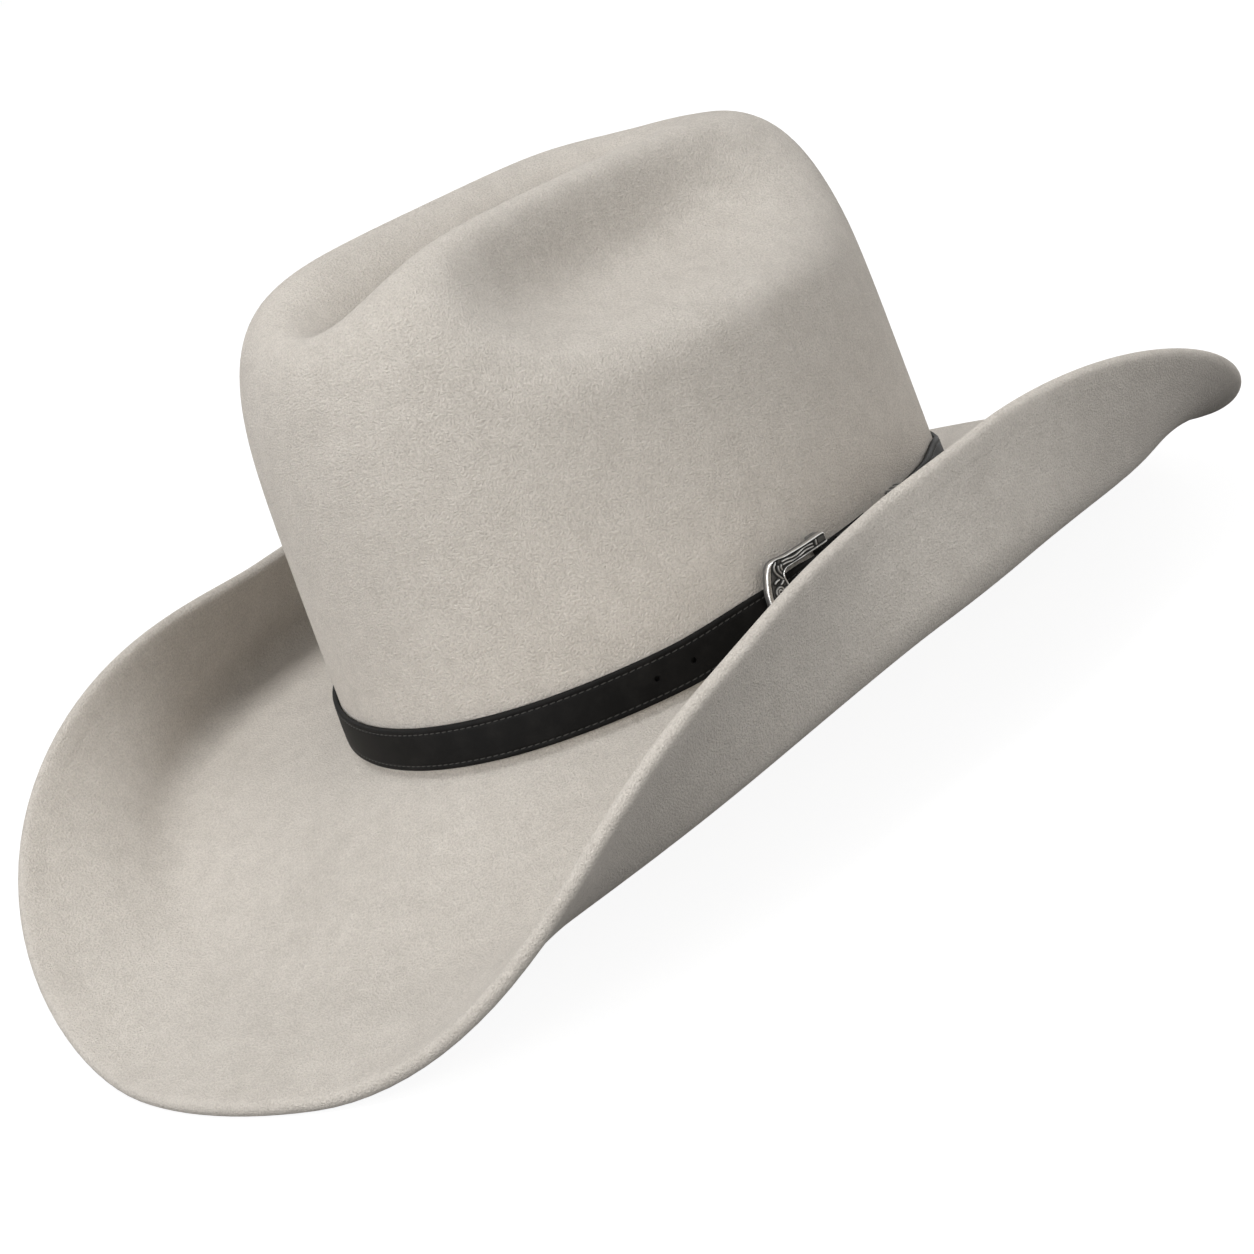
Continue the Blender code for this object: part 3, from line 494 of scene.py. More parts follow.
class Finish(Nodes):
    """A material in the making, with its Principled shader."""

    def __init__(self, name, **constants):
        self.material = bpy.data.materials.new(name)
        self.material.use_nodes = True
        super().__init__(self.material.node_tree)
        self.shader = self.tree.nodes["Principled BSDF"]
        for socket, value in constants.items():
            self.shader.inputs[socket.replace("_", " ")].default_value = value
        self.place = self.add("ShaderNodeTexCoord", out="Object")

    def noise(self, size, detail=2.0, rough=0.5, place=None):
        """Noise whose lumps are about one size across."""
        values = {"Vector": place or self.place, "Scale": 1.0 / size}
        return self.add("ShaderNodeTexNoise", {}, {**values, "Detail": detail, "Roughness": rough})

    def cells(self, size, smoothness):
        """Soft cells of about one size, as in the grain of leather."""
        values = {"Vector": self.place, "Scale": 1.0 / size, "Smoothness": smoothness}
        return self.add("ShaderNodeTexVoronoi", {"feature": "SMOOTH_F1"}, values)

    def stretched(self, factors):
        """The place on the piece, stretched along the axes."""
        return self.add("ShaderNodeVectorMath", {"operation": "MULTIPLY"}, {0: self.place, 1: factors})

    def mix(self, share, one, other):
        """One colour going over to another."""
        one, other = ((*c, 1.0) if isinstance(c, tuple) else c for c in (one, other))
        return self.add("ShaderNodeMix", {"data_type": "RGBA"}, {0: share, 6: one, 7: other}, out=2)

    def ramp(self, share, *stops):
        """A grey value from a ramp of position and level pairs."""
        stops = [(position, (level,) * 3) for position, level in stops]
        return self.add("ShaderNodeValToRGB", {"stops": stops}, {"Fac": share})

    def bump(self, height, distance, strength=1.0):
        """A normal that shows a height field."""
        values = {"Height": height, "Distance": distance, "Strength": strength}
        return self.add("ShaderNodeBump", {}, values)

    def paint(self, **wires):
        """Feed the shader and hand over the finished material."""
        for socket, wire in wires.items():
            self.tree.links.new(wire.socket, self.shader.inputs[socket.replace("_", " ")])
        print("%s: %d nodes" % (self.material.name, len(self.tree.nodes)))
        return self.material


# %% [markdown]
# The felt's finish
# Fur felt is matted, then brushed and sanded. Close up it is a fine grain of about a millimetre,
# which shows where the light grazes it and almost vanishes where the light falls square on. That
# is what bump does, so the nap is bump first; it also tints the colour, with a faint mottle.

# %% Felt
FELT_LIGHT = (0.815, 0.758, 0.688)
FELT_DARK = (0.615, 0.567, 0.508)
NAP = 0.60 * MM
NAP_DEPTH = 1.1 * MM
MOTTLE = 7.0 * MM
CLOUD = 60.0 * MM


def felt_finish():
    """Light warm grey felt with a short brushed nap."""
    felt = Finish("light grey felt", Roughness=0.96, Sheen_Weight=0.12, Sheen_Roughness=0.45,
                  Specular_IOR_Level=0.12)
    nap = felt.noise(NAP, 3.0, 0.62)
    mottle = felt.noise(MOTTLE, 3.0, 0.6)
    cloud = felt.noise(CLOUD, 2.0, 0.5)
    tint = felt.ramp(0.64 * nap + 0.2 * mottle + 0.16 * cloud, (0.38, 0.0), (0.62, 1.0))
    colour = felt.mix(tint, FELT_DARK, FELT_LIGHT)
    grain = nap + 0.35 * felt.noise(NAP * 0.45, 2.0, 0.6) + 0.3 * mottle
    return felt.paint(Base_Color=colour, Normal=felt.bump(grain, NAP_DEPTH))


felt = felt_finish()

# %% [markdown]
# The felt body
# Crown and brim are one piece of felt. Its outer face is a grid of rows from the brim's edge to
# the top; the inner face is the same grid set in by the felt's thickness. The cut edge is sanded
# round, so the two faces join in a half circle that swells a little. A line of stitches runs round
# near the edge in a shallow furrow.

# %% The felt body
COLUMNS = 240
EDGE_SWELL = 1.5 * MM
EDGE_SWELL_REACH = 14.0 * MM
EDGE_HALF = (FELT + EDGE_SWELL) / 2
STITCH_INSET = 7.5 * MM
FURROW = 0.07 * MM
FURROW_HALF = 0.8 * MM
EDGE_STEPS = 9
EDGE_ROWS = (EDGE_HALF, 3.2 * MM, 4.4 * MM, 5.6 * MM)
FURROW_ROWS = STITCH_INSET + FURROW_HALF * np.linspace(-1.5, 1.5, 5)
SWELL_ROWS = (10.5 * MM, 12.2 * MM, EDGE_SWELL_REACH)
BRIM_ROWS = 64
CROWN_ROWS = 90
felt_angles = even_angles(COLUMNS, 50.0 * MM)


def felt_rows(angles):
    """Rows of the felt's outer face, from the edge to the crown's top, and each row's inset."""
    near = np.array([*EDGE_ROWS, *FURROW_ROWS, *SWELL_ROWS])
    far = np.linspace(0.0, 1.0, BRIM_ROWS + 1)[1:]
    brim = []
    for angle in angles:
        inset = np.concatenate([near, near[-1] + (brim_width(angle) - near[-1]) * far])
        brim.append(brim_points(angle, inset))
    brim = np.array(brim).transpose(1, 0, 2)
    corner = np.column_stack([oval(angles), break_height(angles)])
    wall = crown_surface(angles, rise_at_height(angles, BREAK_RADIUS))
    fillet = []
    for share in (0.2, 0.4, 0.6, 0.8):
        fillet.append(brim[-1] * (1 - share) ** 2 + 2 * corner * share * (1 - share) + wall * share ** 2)
    foot = rise_at_height(0.0, 3 * BREAK_RADIUS)
    rises = [rise for rise in crown_rows(CROWN_ROWS)[:-1] if rise > foot]
    crown = [crown_surface(angles, np.full(len(angles), rise)) for rise in rises]
    rows = np.array([*brim, *fillet, wall, *crown])
    inset = np.concatenate([near, np.full(len(rows) - len(near), 1.0)])
    return rows, inset


def row_normals(rows):
    """Outward directions of a grid of closed rows."""
    round_it = np.roll(rows, -1, 1) - np.roll(rows, 1, 1)
    return unit(np.cross(round_it, np.gradient(rows, axis=0)))


def felt_body():
    """The whole felt, outside and inside."""
    rows, inset = felt_rows(felt_angles)
    normals = row_normals(rows)
    swell = (EDGE_SWELL * (1.0 - smooth(EDGE_HALF, EDGE_SWELL_REACH, inset)))[:, None, None]
    furrow = (FURROW * peak(inset, STITCH_INSET, FURROW_HALF))[:, None, None]
    outer = rows + normals * (swell / 2 - furrow)
    inner = rows - normals * (FELT + swell / 2 - furrow)
    middle, half = (outer[0] + inner[0]) / 2, (outer[0] - inner[0]) / 2
    outward = unit(rows[0] - rows[1]) * np.linalg.norm(half, axis=-1, keepdims=True)
    turns = np.linspace(0.0, math.pi, EDGE_STEPS + 2)[1:-1]
    edge = [middle + half * math.cos(turn) + outward * math.sin(turn) for turn in turns]
    top = crown_surface(0.0, math.pi / 2)
    piece = skin("felt_hat", [*outer[::-1], *edge, *inner], top, top - (0.0, 0.0, FELT))
    dress(piece, "hat", "felt", felt, "felt_body")


felt_body()

# %% [markdown]
# Stitching round the brim
# The thread matches the felt and lies in the furrow, so it shows as a faint dotted line on both
# faces of the brim.

# %% Brim stitching
BRIM_STITCH_PITCH = 3.4 * MM
BRIM_STITCH = 2.3 * MM
BRIM_THREAD = 0.2 * MM


def thread_finish(name, colour, dark):
    """Twisted thread: a fine grain in the colour and the bump."""
    thread = Finish(name, Roughness=0.75, Sheen_Weight=0.1)
    ply = thread.noise(0.35 * MM, 2.0, 0.6)
    normal = thread.bump(ply, 0.1 * MM, 0.6)
    return thread.paint(Base_Color=thread.mix(ply, dark, colour), Normal=normal)


def brim_stitching():
    """Stitches on the upper and the lower face."""
    finish = thread_finish("felt coloured thread", (0.66, 0.615, 0.56), (0.55, 0.51, 0.46))
    fine = even_angles(720, 100.0 * MM)
    insets = STITCH_INSET + np.array([0.5, 0.0, -0.5]) * MM
    rows = np.array([brim_points(angle, insets) for angle in fine]).transpose(1, 0, 2)[::-1]
    normals = row_normals(rows)[1]
    for name, face, depth in (("upper", 1.0, FURROW), ("lower", -1.0, FELT - FURROW)):
        line = rows[1] - normals * depth
        piece = threads("brim_stitching_" + name, line, face * normals,
                        BRIM_STITCH_PITCH, BRIM_STITCH, BRIM_THREAD)
        dress(piece, "hat", "felt", finish)


brim_stitching()

# %% [markdown]
# Band coordinates
# The band lies round the crown's foot, so its pieces are drawn flat and then wrapped: a length
# along the oval from the buckle's heel bar towards the rear, a distance out from the felt, and a
# height up the crown's wall. The frame, prong, keeper and tip use the same coordinates.

# %% Wrapping round the crown
BUCKLE_ANGLE = math.radians(-10.8)
CLEARANCE = 0.3 * MM
STRAP_WIDTH = 12.7 * MM
STRAP = 1.6 * MM
STRAP_LIFT = 2.9 * MM
BUCKLE_RISE = 1.3 * MM
RISE_RAMP = 30.0 * MM
BILLET_RISE = 1.9 * MM
FRAME_LENGTH = 23.0 * MM
CHAPE = 0.9 * MM
CHAPE_LENGTH = 22.0 * MM
TIP_REACH = 58.0 * MM
TIP_LENGTH = 12.0 * MM
HEEL_BAR_RADIUS = 0.8 * MM
BILLET_STEP = 7.0 * MM
STRAP_SETTLE = 20.0 * MM
HEEL_BAR_OUT = 2 * CLEARANCE + CHAPE + HEEL_BAR_RADIUS
STRAP_UNDER = 2 * CLEARANCE + CHAPE
CHAPE_OUTER = 2 * HEEL_BAR_OUT - CLEARANCE - CHAPE
BILLET_HIGH = CHAPE_OUTER + CHAPE + CLEARANCE
BILLET_LOW = STRAP_UNDER + STRAP + CLEARANCE
STRAP_START = HEEL_BAR_OUT + 5.0 * MM
TURN_STEPS = 2000
table_angles = BUCKLE_ANGLE + np.linspace(-2.0 * math.pi, 4.0 * math.pi, 3 * TURN_STEPS + 1)
table_lengths = walked(oval(table_angles, np.zeros(len(table_angles))))
table_lengths -= table_lengths[TURN_STEPS]
GIRTH = table_lengths[2 * TURN_STEPS]


def wrap(along, out, up):
    """Band coordinates to space."""
    along, out, up = np.broadcast_arrays(*(np.asarray(v, float) for v in (along, out, up)))
    angle = np.interp(along, table_lengths, table_angles)
    point = crown_surface(angle, rise_at_height(angle, np.maximum(up, 0.0)))
    point[..., :2] += oval_normal(angle) * out[..., None]
    point[..., 2] += np.minimum(up, 0.0)
    return point


def strap_foot(along):
    """Height of the strap's lower edge: it rides up to the taller buckle, and again inside it."""
    near = np.mod(np.asarray(along, float) + GIRTH / 2, GIRTH) - GIRTH / 2
    rear = TIP_REACH + CHAPE_LENGTH
    rise = smooth(-FRAME_LENGTH - RISE_RAMP, -FRAME_LENGTH, near)
    step = smooth(-0.85 * FRAME_LENGTH, -0.35 * FRAME_LENGTH, near)
    fall = smooth(rear, rear + RISE_RAMP, near)
    return STRAP_LIFT + (BUCKLE_RISE * rise + BILLET_RISE * step) * (1.0 - fall)


def strap_middle(along=0.0):
    """Height of the strap's middle line."""
    return strap_foot(along) + STRAP_WIDTH / 2


def strap_out(along):
    """How far the strap's inner face stands off the felt."""
    settled = smooth(TIP_REACH, TIP_REACH + STRAP_SETTLE, along)
    under = STRAP_UNDER + (CLEARANCE - STRAP_UNDER) * settled
    risen = smooth(-0.8 * FRAME_LENGTH, -4.0 * MM, along - GIRTH)
    down = smooth(CHAPE_LENGTH, CHAPE_LENGTH + BILLET_STEP, along - GIRTH)
    over = CLEARANCE + (BILLET_HIGH - CLEARANCE) * risen + (BILLET_LOW - BILLET_HIGH) * down
    return np.where(along < GIRTH / 2, under, over)


print("strap: %.0f mm long" % (1000 * (GIRTH + TIP_REACH - STRAP_START)))

# %% [markdown]
# Black leather
# Bridle leather is dyed through and waxed. It is nearly black, with a tight grain of shallow
# cells, and its gloss breaks up where it has been handled. Its edges are burnished, a little
# shinier, which this finish does not show.

# %% Black leather
LEATHER_DEEP = (0.0044, 0.0042, 0.0040)
LEATHER_WORN = (0.0100, 0.0094, 0.0088)
GRAIN = 0.55 * MM


def black_leather_finish():
    """Semi-gloss black leather."""
    leather = Finish("black leather", Specular_IOR_Level=0.10)
    cells = leather.cells(GRAIN, 0.4)
    pores = leather.noise(0.25 * MM, 2.0, 0.6)
    wear = leather.noise(9.0 * MM, 4.0, 0.65)
    colour = leather.mix(leather.ramp(wear, (0.42, 0.0), (0.72, 1.0)), LEATHER_DEEP, LEATHER_WORN)
    rough = 0.46 + 0.14 * wear + 0.08 * pores
    normal = leather.bump(cells + 0.4 * pores, 0.10 * MM, 0.45)
    return leather.paint(Base_Color=colour, Roughness=rough, Normal=normal)


black_leather = black_leather_finish()
black_thread = thread_finish("waxed dark thread", (0.032, 0.030, 0.026), (0.014, 0.013, 0.011))

# %% [markdown]
# The strap
# One strap starts under the chape, goes once round the crown and on through the buckle. Its edges
# are rounded, and a crease is run along both of them for the stitching to lie in. It is a section
# swept along the band. The prong's slot is cut right through; the spare holes stop at a thin floor
# of the black leather, which is painted shade for the shadowed felt seen through a real hole.

# %% The strap
STRAP_STEP = 1.6 * MM
CREASE_INSET = 1.6 * MM
CREASE_DEPTH_IN_STRAP = 0.2 * MM
CREASE_HALF_IN_STRAP = 0.2 * MM
STRAP_DOME = 0.18 * MM
HOLE_RADIUS = 0.8 * MM
HOLE_SHADE_FLOOR = 0.3 * MM
HOLE_PITCH = 11.0 * MM
FIRST_SPARE_HOLE = 47.0 * MM
SPARE_HOLES = 2
PRONG_SLOT = (-8.0 * MM, 1.6 * MM)
PRONG_WIDTH = 2.4 * MM
PRONG_ROOM = 0.6 * MM


def tip_half(along):
    """Half width of the strap's free end, which is cut to a point under the metal tip."""
    share = (along - TIP_REACH + TIP_LENGTH) / TIP_LENGTH
    half = np.interp(share, (0.0, 0.2, 0.55, 0.85, 1.0), (1.0, 0.94, 1.0, 0.62, 0.16))
    return STRAP_WIDTH / 2 * half


def strap_section():
    """Section of the strap: out from its inner face, and across it from -1 to 1."""
    across = np.array([0.45, 0.9, 1.25, 1.45, 1.6, 1.75, 1.95, 2.4, 3.6, 4.9, 6.35]) * MM
    dome = STRAP_DOME * np.sin(np.pi / 2 * across / (STRAP_WIDTH / 2))
    crease = CREASE_DEPTH_IN_STRAP * peak(across, CREASE_INSET, CREASE_HALF_IN_STRAP)
    face = np.column_stack([STRAP - STRAP_DOME + dome - crease, across])
    edge = [(0.0, 0.35 * MM), (0.12 * MM, 0.1 * MM), (0.35 * MM, 0.0), (STRAP - 0.7 * MM, 0.0),
            (STRAP - 0.42 * MM, 0.12 * MM)]
    half = np.vstack([edge, face])
    half[:, 1] = half[:, 1] / (STRAP_WIDTH / 2) - 1.0
    other = half[:-1][::-1] * (1.0, -1.0)
    return np.vstack([half, other])


def strap_faces(along, out, across):
    """A point of the strap, out from its inner face and across it from -1 to 1."""
    half = np.where(along > GIRTH, tip_half(along - GIRTH), STRAP_WIDTH / 2)
    return wrap(along, strap_out(along) + out, strap_foot(along) + STRAP_WIDTH / 2 + across * half)


def rod(name, along, up, radius, out, sides=20):
    """A round punch through the band."""
    turns = full_turn(sides)
    around, height = along + radius * np.cos(turns), up + radius * np.sin(turns)
    return skin(name, [wrap(around, level, height) for level in out], capped=True)


def slot_block(name, along, half, out):
    """A block with rounded ends through the band, as a slot punch makes."""
    turns = np.linspace(-math.pi / 2, math.pi / 2, 9)
    reach, climb = half * np.cos(turns), half * np.sin(turns)
    line = np.concatenate([along[1] - half + reach, along[0] + half - reach])
    up = strap_middle() + np.concatenate([climb, -climb])
    return skin(name, [wrap(line, level, up) for level in out], capped=True)


def hatband_strap():
    """The strap with its holes."""
    section = strap_section()
    end = GIRTH + TIP_REACH
    along = np.linspace(STRAP_START, end, int((end - STRAP_START) / STRAP_STEP))
    rows = strap_faces(along[:, None], section[None, :, 0], section[None, :, 1])
    strap = skin("band_strap", rows, capped=True)
    through = (CHAPE_OUTER + CHAPE / 2, BILLET_HIGH + 3 * STRAP)
    cut(strap, slot_block("slot", PRONG_SLOT, PRONG_WIDTH / 2 + PRONG_ROOM, through))
    for k in range(SPARE_HOLES):
        place = GIRTH - FIRST_SPARE_HOLE - k * HOLE_PITCH
        # The spare holes stop at a thin floor of black leather: painted shade for the shadowed felt
        # behind a real hole.
        painted_shade_depths = (strap_out(place) + HOLE_SHADE_FLOOR, 4 * STRAP)
        cut(strap, rod("hole", place, strap_middle(place), HOLE_RADIUS, painted_shade_depths))
    dress(strap, "hat", "band_leather", black_leather, "hatband_strap")


hatband_strap()

# %% [markdown]
# Stitching on the strap
# Fine waxed thread runs in the creases along both edges. A texture could show it, but threads that
# stand up catch the light at any distance, so the brim's thread mesh is used again, a little finer.

# %% Strap stitching
STRAP_STITCH_PITCH = 2.1 * MM
STRAP_STITCH = 1.6 * MM
STRAP_THREAD = 0.17 * MM
STRAP_STITCH_SLANT = 0.06 * MM
STRAP_STITCH_START = STRAP_START + 12.0 * MM
STRAP_STITCH_END = GIRTH + TIP_REACH - TIP_LENGTH - 1.0 * MM


def strap_stitching():
    """Two rows of fine stitches in the creases along the strap's edges."""
    along = np.linspace(STRAP_STITCH_START, STRAP_STITCH_END, 900)
    across = 1.0 - CREASE_INSET / (STRAP_WIDTH / 2)
    for name, side in (("upper", 1.0), ("lower", -1.0)):
        out = STRAP - STRAP_DOME - 0.02 * MM
        line = strap_faces(along, out, side * across)
        face = strap_faces(along, out + MM, side * across) - line
        piece = threads("strap_stitching_" + name, line, face, STRAP_STITCH_PITCH, STRAP_STITCH,
                        STRAP_THREAD, closed=False, slant=STRAP_STITCH_SLANT)
        dress(piece, "hat", "band_leather", black_thread)


strap_stitching()

# %% [markdown]
# The chape
# A thin strip of the same leather is folded round the buckle's heel bar and sewn to the strap's
# end. A slot in the fold lets the prong through.

# %% The chape
PRONG_EYE = 0.95 * MM


def folded_strip():
    """Rows of the chape: inner and outer edge of the strip along its folded path."""
    radius = HEEL_BAR_RADIUS + CLEARANCE
    straight = np.linspace(CHAPE_LENGTH, 0.0, 16, endpoint=False)
    turns = -math.pi / 2 - np.linspace(0.0, math.pi, 15)
    near, far = [(a, CLEARANCE + CHAPE) for a in straight], [(a, CLEARANCE) for a in straight]
    for turn in turns:
        aim = np.array((math.cos(turn), math.sin(turn)))
        near.append(tuple(radius * aim + (0.0, HEEL_BAR_OUT)))
        far.append(tuple((radius + CHAPE) * aim + (0.0, HEEL_BAR_OUT)))
    near += [(a, CHAPE_OUTER) for a in straight[::-1]]
    far += [(a, CHAPE_OUTER + CHAPE) for a in straight[::-1]]
    return np.array(near), np.array(far)


def chape():
    """The folded chape with its slot."""
    near, far = folded_strip()
    foot, width = strap_foot(0.0), STRAP_WIDTH
    section = [(0.0, 0.03), (0.0, 0.5), (0.0, 0.97), (0.3, 1.0), (0.7, 1.0), (1.0, 0.97),
               (1.0, 0.9), (1.0, 0.5), (1.0, 0.1), (1.0, 0.03), (0.7, 0.0), (0.3, 0.0)]
    rows = []
    for one, other in zip(near, far):
        rows.append([wrap(*(one + (other - one) * out), foot + width * up) for out, up in section])
    piece = skin("chape_leather", rows, capped=True)
    reach = HEEL_BAR_RADIUS + 2 * CLEARANCE + PRONG_EYE + PRONG_ROOM
    half = PRONG_WIDTH / 2 + PRONG_ROOM
    cut(piece, slot_block("slot", (-reach - CHAPE, reach), half, (-CHAPE, BILLET_HIGH + STRAP)))
    dress(piece, "hat", "band_leather", black_leather, "buckle_chape")


chape()

# %% [markdown]
# Antique silver
# The metal is cast with raised scrolls, blackened all over and then polished, so the black stays
# in the hollows. The mesh carries each point's relief as an attribute, and the finish darkens and
# dulls what lies low.

# %% Antique silver
SILVER_BRIGHT = (0.74, 0.73, 0.71)
SILVER_DULL = (0.19, 0.187, 0.18)
SILVER_BLACK = (0.012, 0.012, 0.011)


def silver_finish():
    """Engraved silver with blackened hollows."""
    silver = Finish("antique silver", Specular_IOR_Level=0.5)
    relief = silver.add("ShaderNodeAttribute", {"attribute_name": "relief"}, {}, out="Fac")
    tarnish = silver.noise(1.6 * MM, 4.0, 0.65)
    scratch = silver.noise(0.3 * MM, 2.0, 0.6, silver.stretched((1.0, 1.0, 9.0)))
    worn = relief + 0.35 * (tarnish - 0.5)
    high = silver.ramp(worn, (0.18, 0.0), (0.62, 1.0))
    polish = silver.ramp(worn, (0.55, 0.0), (0.95, 1.0))
    colour = silver.mix(high, SILVER_BLACK, silver.mix(polish, SILVER_DULL, SILVER_BRIGHT))
    rough = 0.52 - 0.30 * polish + 0.10 * scratch
    return silver.paint(Base_Color=colour, Roughness=rough, Metallic=0.35 + 0.65 * high,
                        Normal=silver.bump(scratch + 0.5 * tarnish, 0.03 * MM, 0.35))


silver = silver_finish()


def set_relief(piece, values):
    """Store the relief of each point for the finish. One value serves every point."""
    layer = piece.data.attributes.new("relief", "FLOAT", "POINT")
    every = np.broadcast_to(np.asarray(values, np.float32), len(piece.data.vertices))
    layer.data.foreach_set("value", every.copy())


# %% [markdown]
# Scrollwork
# The ornament is a layout of this script's own: a leaf in each corner, a wavy stem along the rails
# and curls on the front bar, drawn as lines on the flat of the plate. A point's height follows from
# its distance to the nearest line, so the same drawing serves the frame and the tip.

# %% Relief on a plate
LINE_HALF = 0.24 * MM
MOAT = 0.52 * MM
MOAT_HALF = 0.24 * MM
BEAD = 0.40 * MM
BEAD_HALF = 0.24 * MM
GROOVE_HALF = 0.17 * MM
RELIEF_HEIGHT = 0.5 * MM


def curl(centre, radius, start, turn):
    """A spiral that winds in to its centre."""
    share = np.linspace(0.0, 1.0, 60)
    angle = start + turn * share
    reach = radius * (1.0 - 0.8 * share)
    return np.array(centre) + np.column_stack([np.cos(angle) * reach, np.sin(angle) * reach])


def relief_on_plate(flat, from_outer, from_inner, rim, lines):
    """Relief from 0 to 1: a polished rim outside, a bead inside, raised lines on dull ground between."""
    points = flat.reshape(-1, 2)
    nearest = np.empty(len(points))
    for k in range(0, len(points), 1000):
        gaps = points[k:k + 1000, None] - lines[None]
        nearest[k:k + 1000] = np.sqrt((gaps ** 2).sum(-1)).min(1)
    nearest = nearest.reshape(from_outer.shape)
    line = peak(nearest, 0.0, LINE_HALF)
    moat = peak(nearest, MOAT, MOAT_HALF)
    ground = 0.40 + 0.48 * line - 0.34 * moat
    outer_groove = peak(from_outer, rim + 1.3 * GROOVE_HALF, GROOVE_HALF)
    inner_groove = peak(from_inner, 2.1 * BEAD, GROOVE_HALF)
    bead = peak(from_inner, BEAD, BEAD_HALF)
    ground = np.maximum(ground * (1.0 - np.maximum(outer_groove, inner_groove)), bead)
    polished = 1.0 - smooth(rim - 0.1 * MM, rim + 0.1 * MM, from_outer)
    return ground + (0.95 - ground) * polished


def strip_skin(name, edges, middle, under, top, bevel, steps, rim, lines):
    """A plate between two outlines round a middle height, with rim, bead and lines on its face."""
    outer, inner = edges[:, :2], edges[:, 2:]
    width = np.linalg.norm(outer - inner, axis=1)
    share = np.linspace(0.0, 1.0, steps)
    flat = outer[:, None] + (inner - outer)[:, None] * share[None, :, None]
    from_outer = share[None] * width[:, None]
    from_inner = (1.0 - share)[None] * width[:, None]
    relief = relief_on_plate(flat, from_outer, from_inner, rim[:, None], lines)
    from_edge = np.minimum(from_outer, from_inner)
    drop = bevel * (1.0 - np.sqrt(1.0 - (1.0 - np.clip(from_edge / bevel, 0.0, 1.0)) ** 2))
    height = top - RELIEF_HEIGHT * (1.0 - relief) * smooth(0.0, 0.3 * MM, from_edge) - drop
    face = wrap(flat[..., 0], height, middle + flat[..., 1])
    ends = flat[:, [0, -1]]
    half_way, foot = (wrap(ends[..., 0], under[:, None] + level * (height[:, [0, -1]] - under[:, None]),
                           middle + ends[..., 1]) for level in (0.5, 0.0))
    rows = np.concatenate([foot[:, :1], half_way[:, :1], face, half_way[:, 1:], foot[:, 1:]], 1)
    piece = skin(name, rows, capped=True)
    edge = np.full((len(rows), 2), 0.55)
    set_relief(piece, np.concatenate([edge, relief, edge], 1).ravel())
    return piece


# %% [markdown]
# The buckle frame
# The frame is a lobed loop, open at the heel, where a round bar closes it. It is a strip that
# follows the loop: two outlines, outer and inner, joined by sections with a bevel and the relief.
# Its front bar swells towards the middle, and its rim is broadest there.

# %% The buckle frame
FRAME_RAIL = 3.2 * MM
FRAME_BAR = 8.0 * MM
FRAME_THICKNESS = 2.3 * MM
FRAME_CORNER = 0.6 * MM
FRAME_SHIFT = -0.5 * MM
HEEL_LUG = 2.2 * MM
HEEL_END = 1.1 * MM
RAIL_RIM = 0.4 * MM
BAR_RIM = 1.25 * MM
FRAME_BEVEL = 0.5 * MM
FRAME_UNDER = CLEARANCE + STRAP + 1.0 * MM
FRAME_TOP = FRAME_UNDER + FRAME_THICKNESS
RAIL_INNER = STRAP_WIDTH / 2 + 1.7 * MM
RAIL_OUTER = RAIL_INNER + FRAME_RAIL


def frame_outline():
    """Outer and inner points of the frame, from the heel's upper end to its lower end."""
    front = -FRAME_LENGTH
    bar = front + FRAME_BAR
    upper = [
        (HEEL_END, RAIL_OUTER - FRAME_CORNER, HEEL_END, RAIL_INNER + FRAME_CORNER / 2),
        (HEEL_END / 5, RAIL_OUTER, HEEL_END / 2, RAIL_INNER),
        (0.30 * front, RAIL_OUTER, 0.27 * front, RAIL_INNER),
        (0.58 * front, RAIL_OUTER + 0.3 * FRAME_CORNER, 0.48 * front, RAIL_INNER),
        (0.71 * front, RAIL_OUTER + FRAME_CORNER, bar + 0.08 * FRAME_LENGTH, RAIL_INNER),
        (0.80 * front, RAIL_OUTER + 0.5 * FRAME_CORNER, bar + 0.04 * FRAME_LENGTH, 0.97 * RAIL_INNER),
        (0.86 * front, 0.91 * RAIL_OUTER, bar, 0.89 * RAIL_INNER),
        (0.905 * front, 0.74 * RAIL_OUTER, bar - 0.01 * FRAME_LENGTH, 0.74 * RAIL_INNER),
        (0.945 * front, 0.52 * RAIL_OUTER, bar, 0.55 * RAIL_INNER),
        (0.97 * front, 0.30 * RAIL_OUTER, bar + 0.01 * FRAME_LENGTH, 0.32 * RAIL_INNER),
    ]
    lower = [(a, -b, c, -d) for a, b, c, d in reversed(upper)]
    return np.array([*upper, (0.98 * front, 0.0, bar + 0.015 * FRAME_LENGTH, 0.0), *lower])


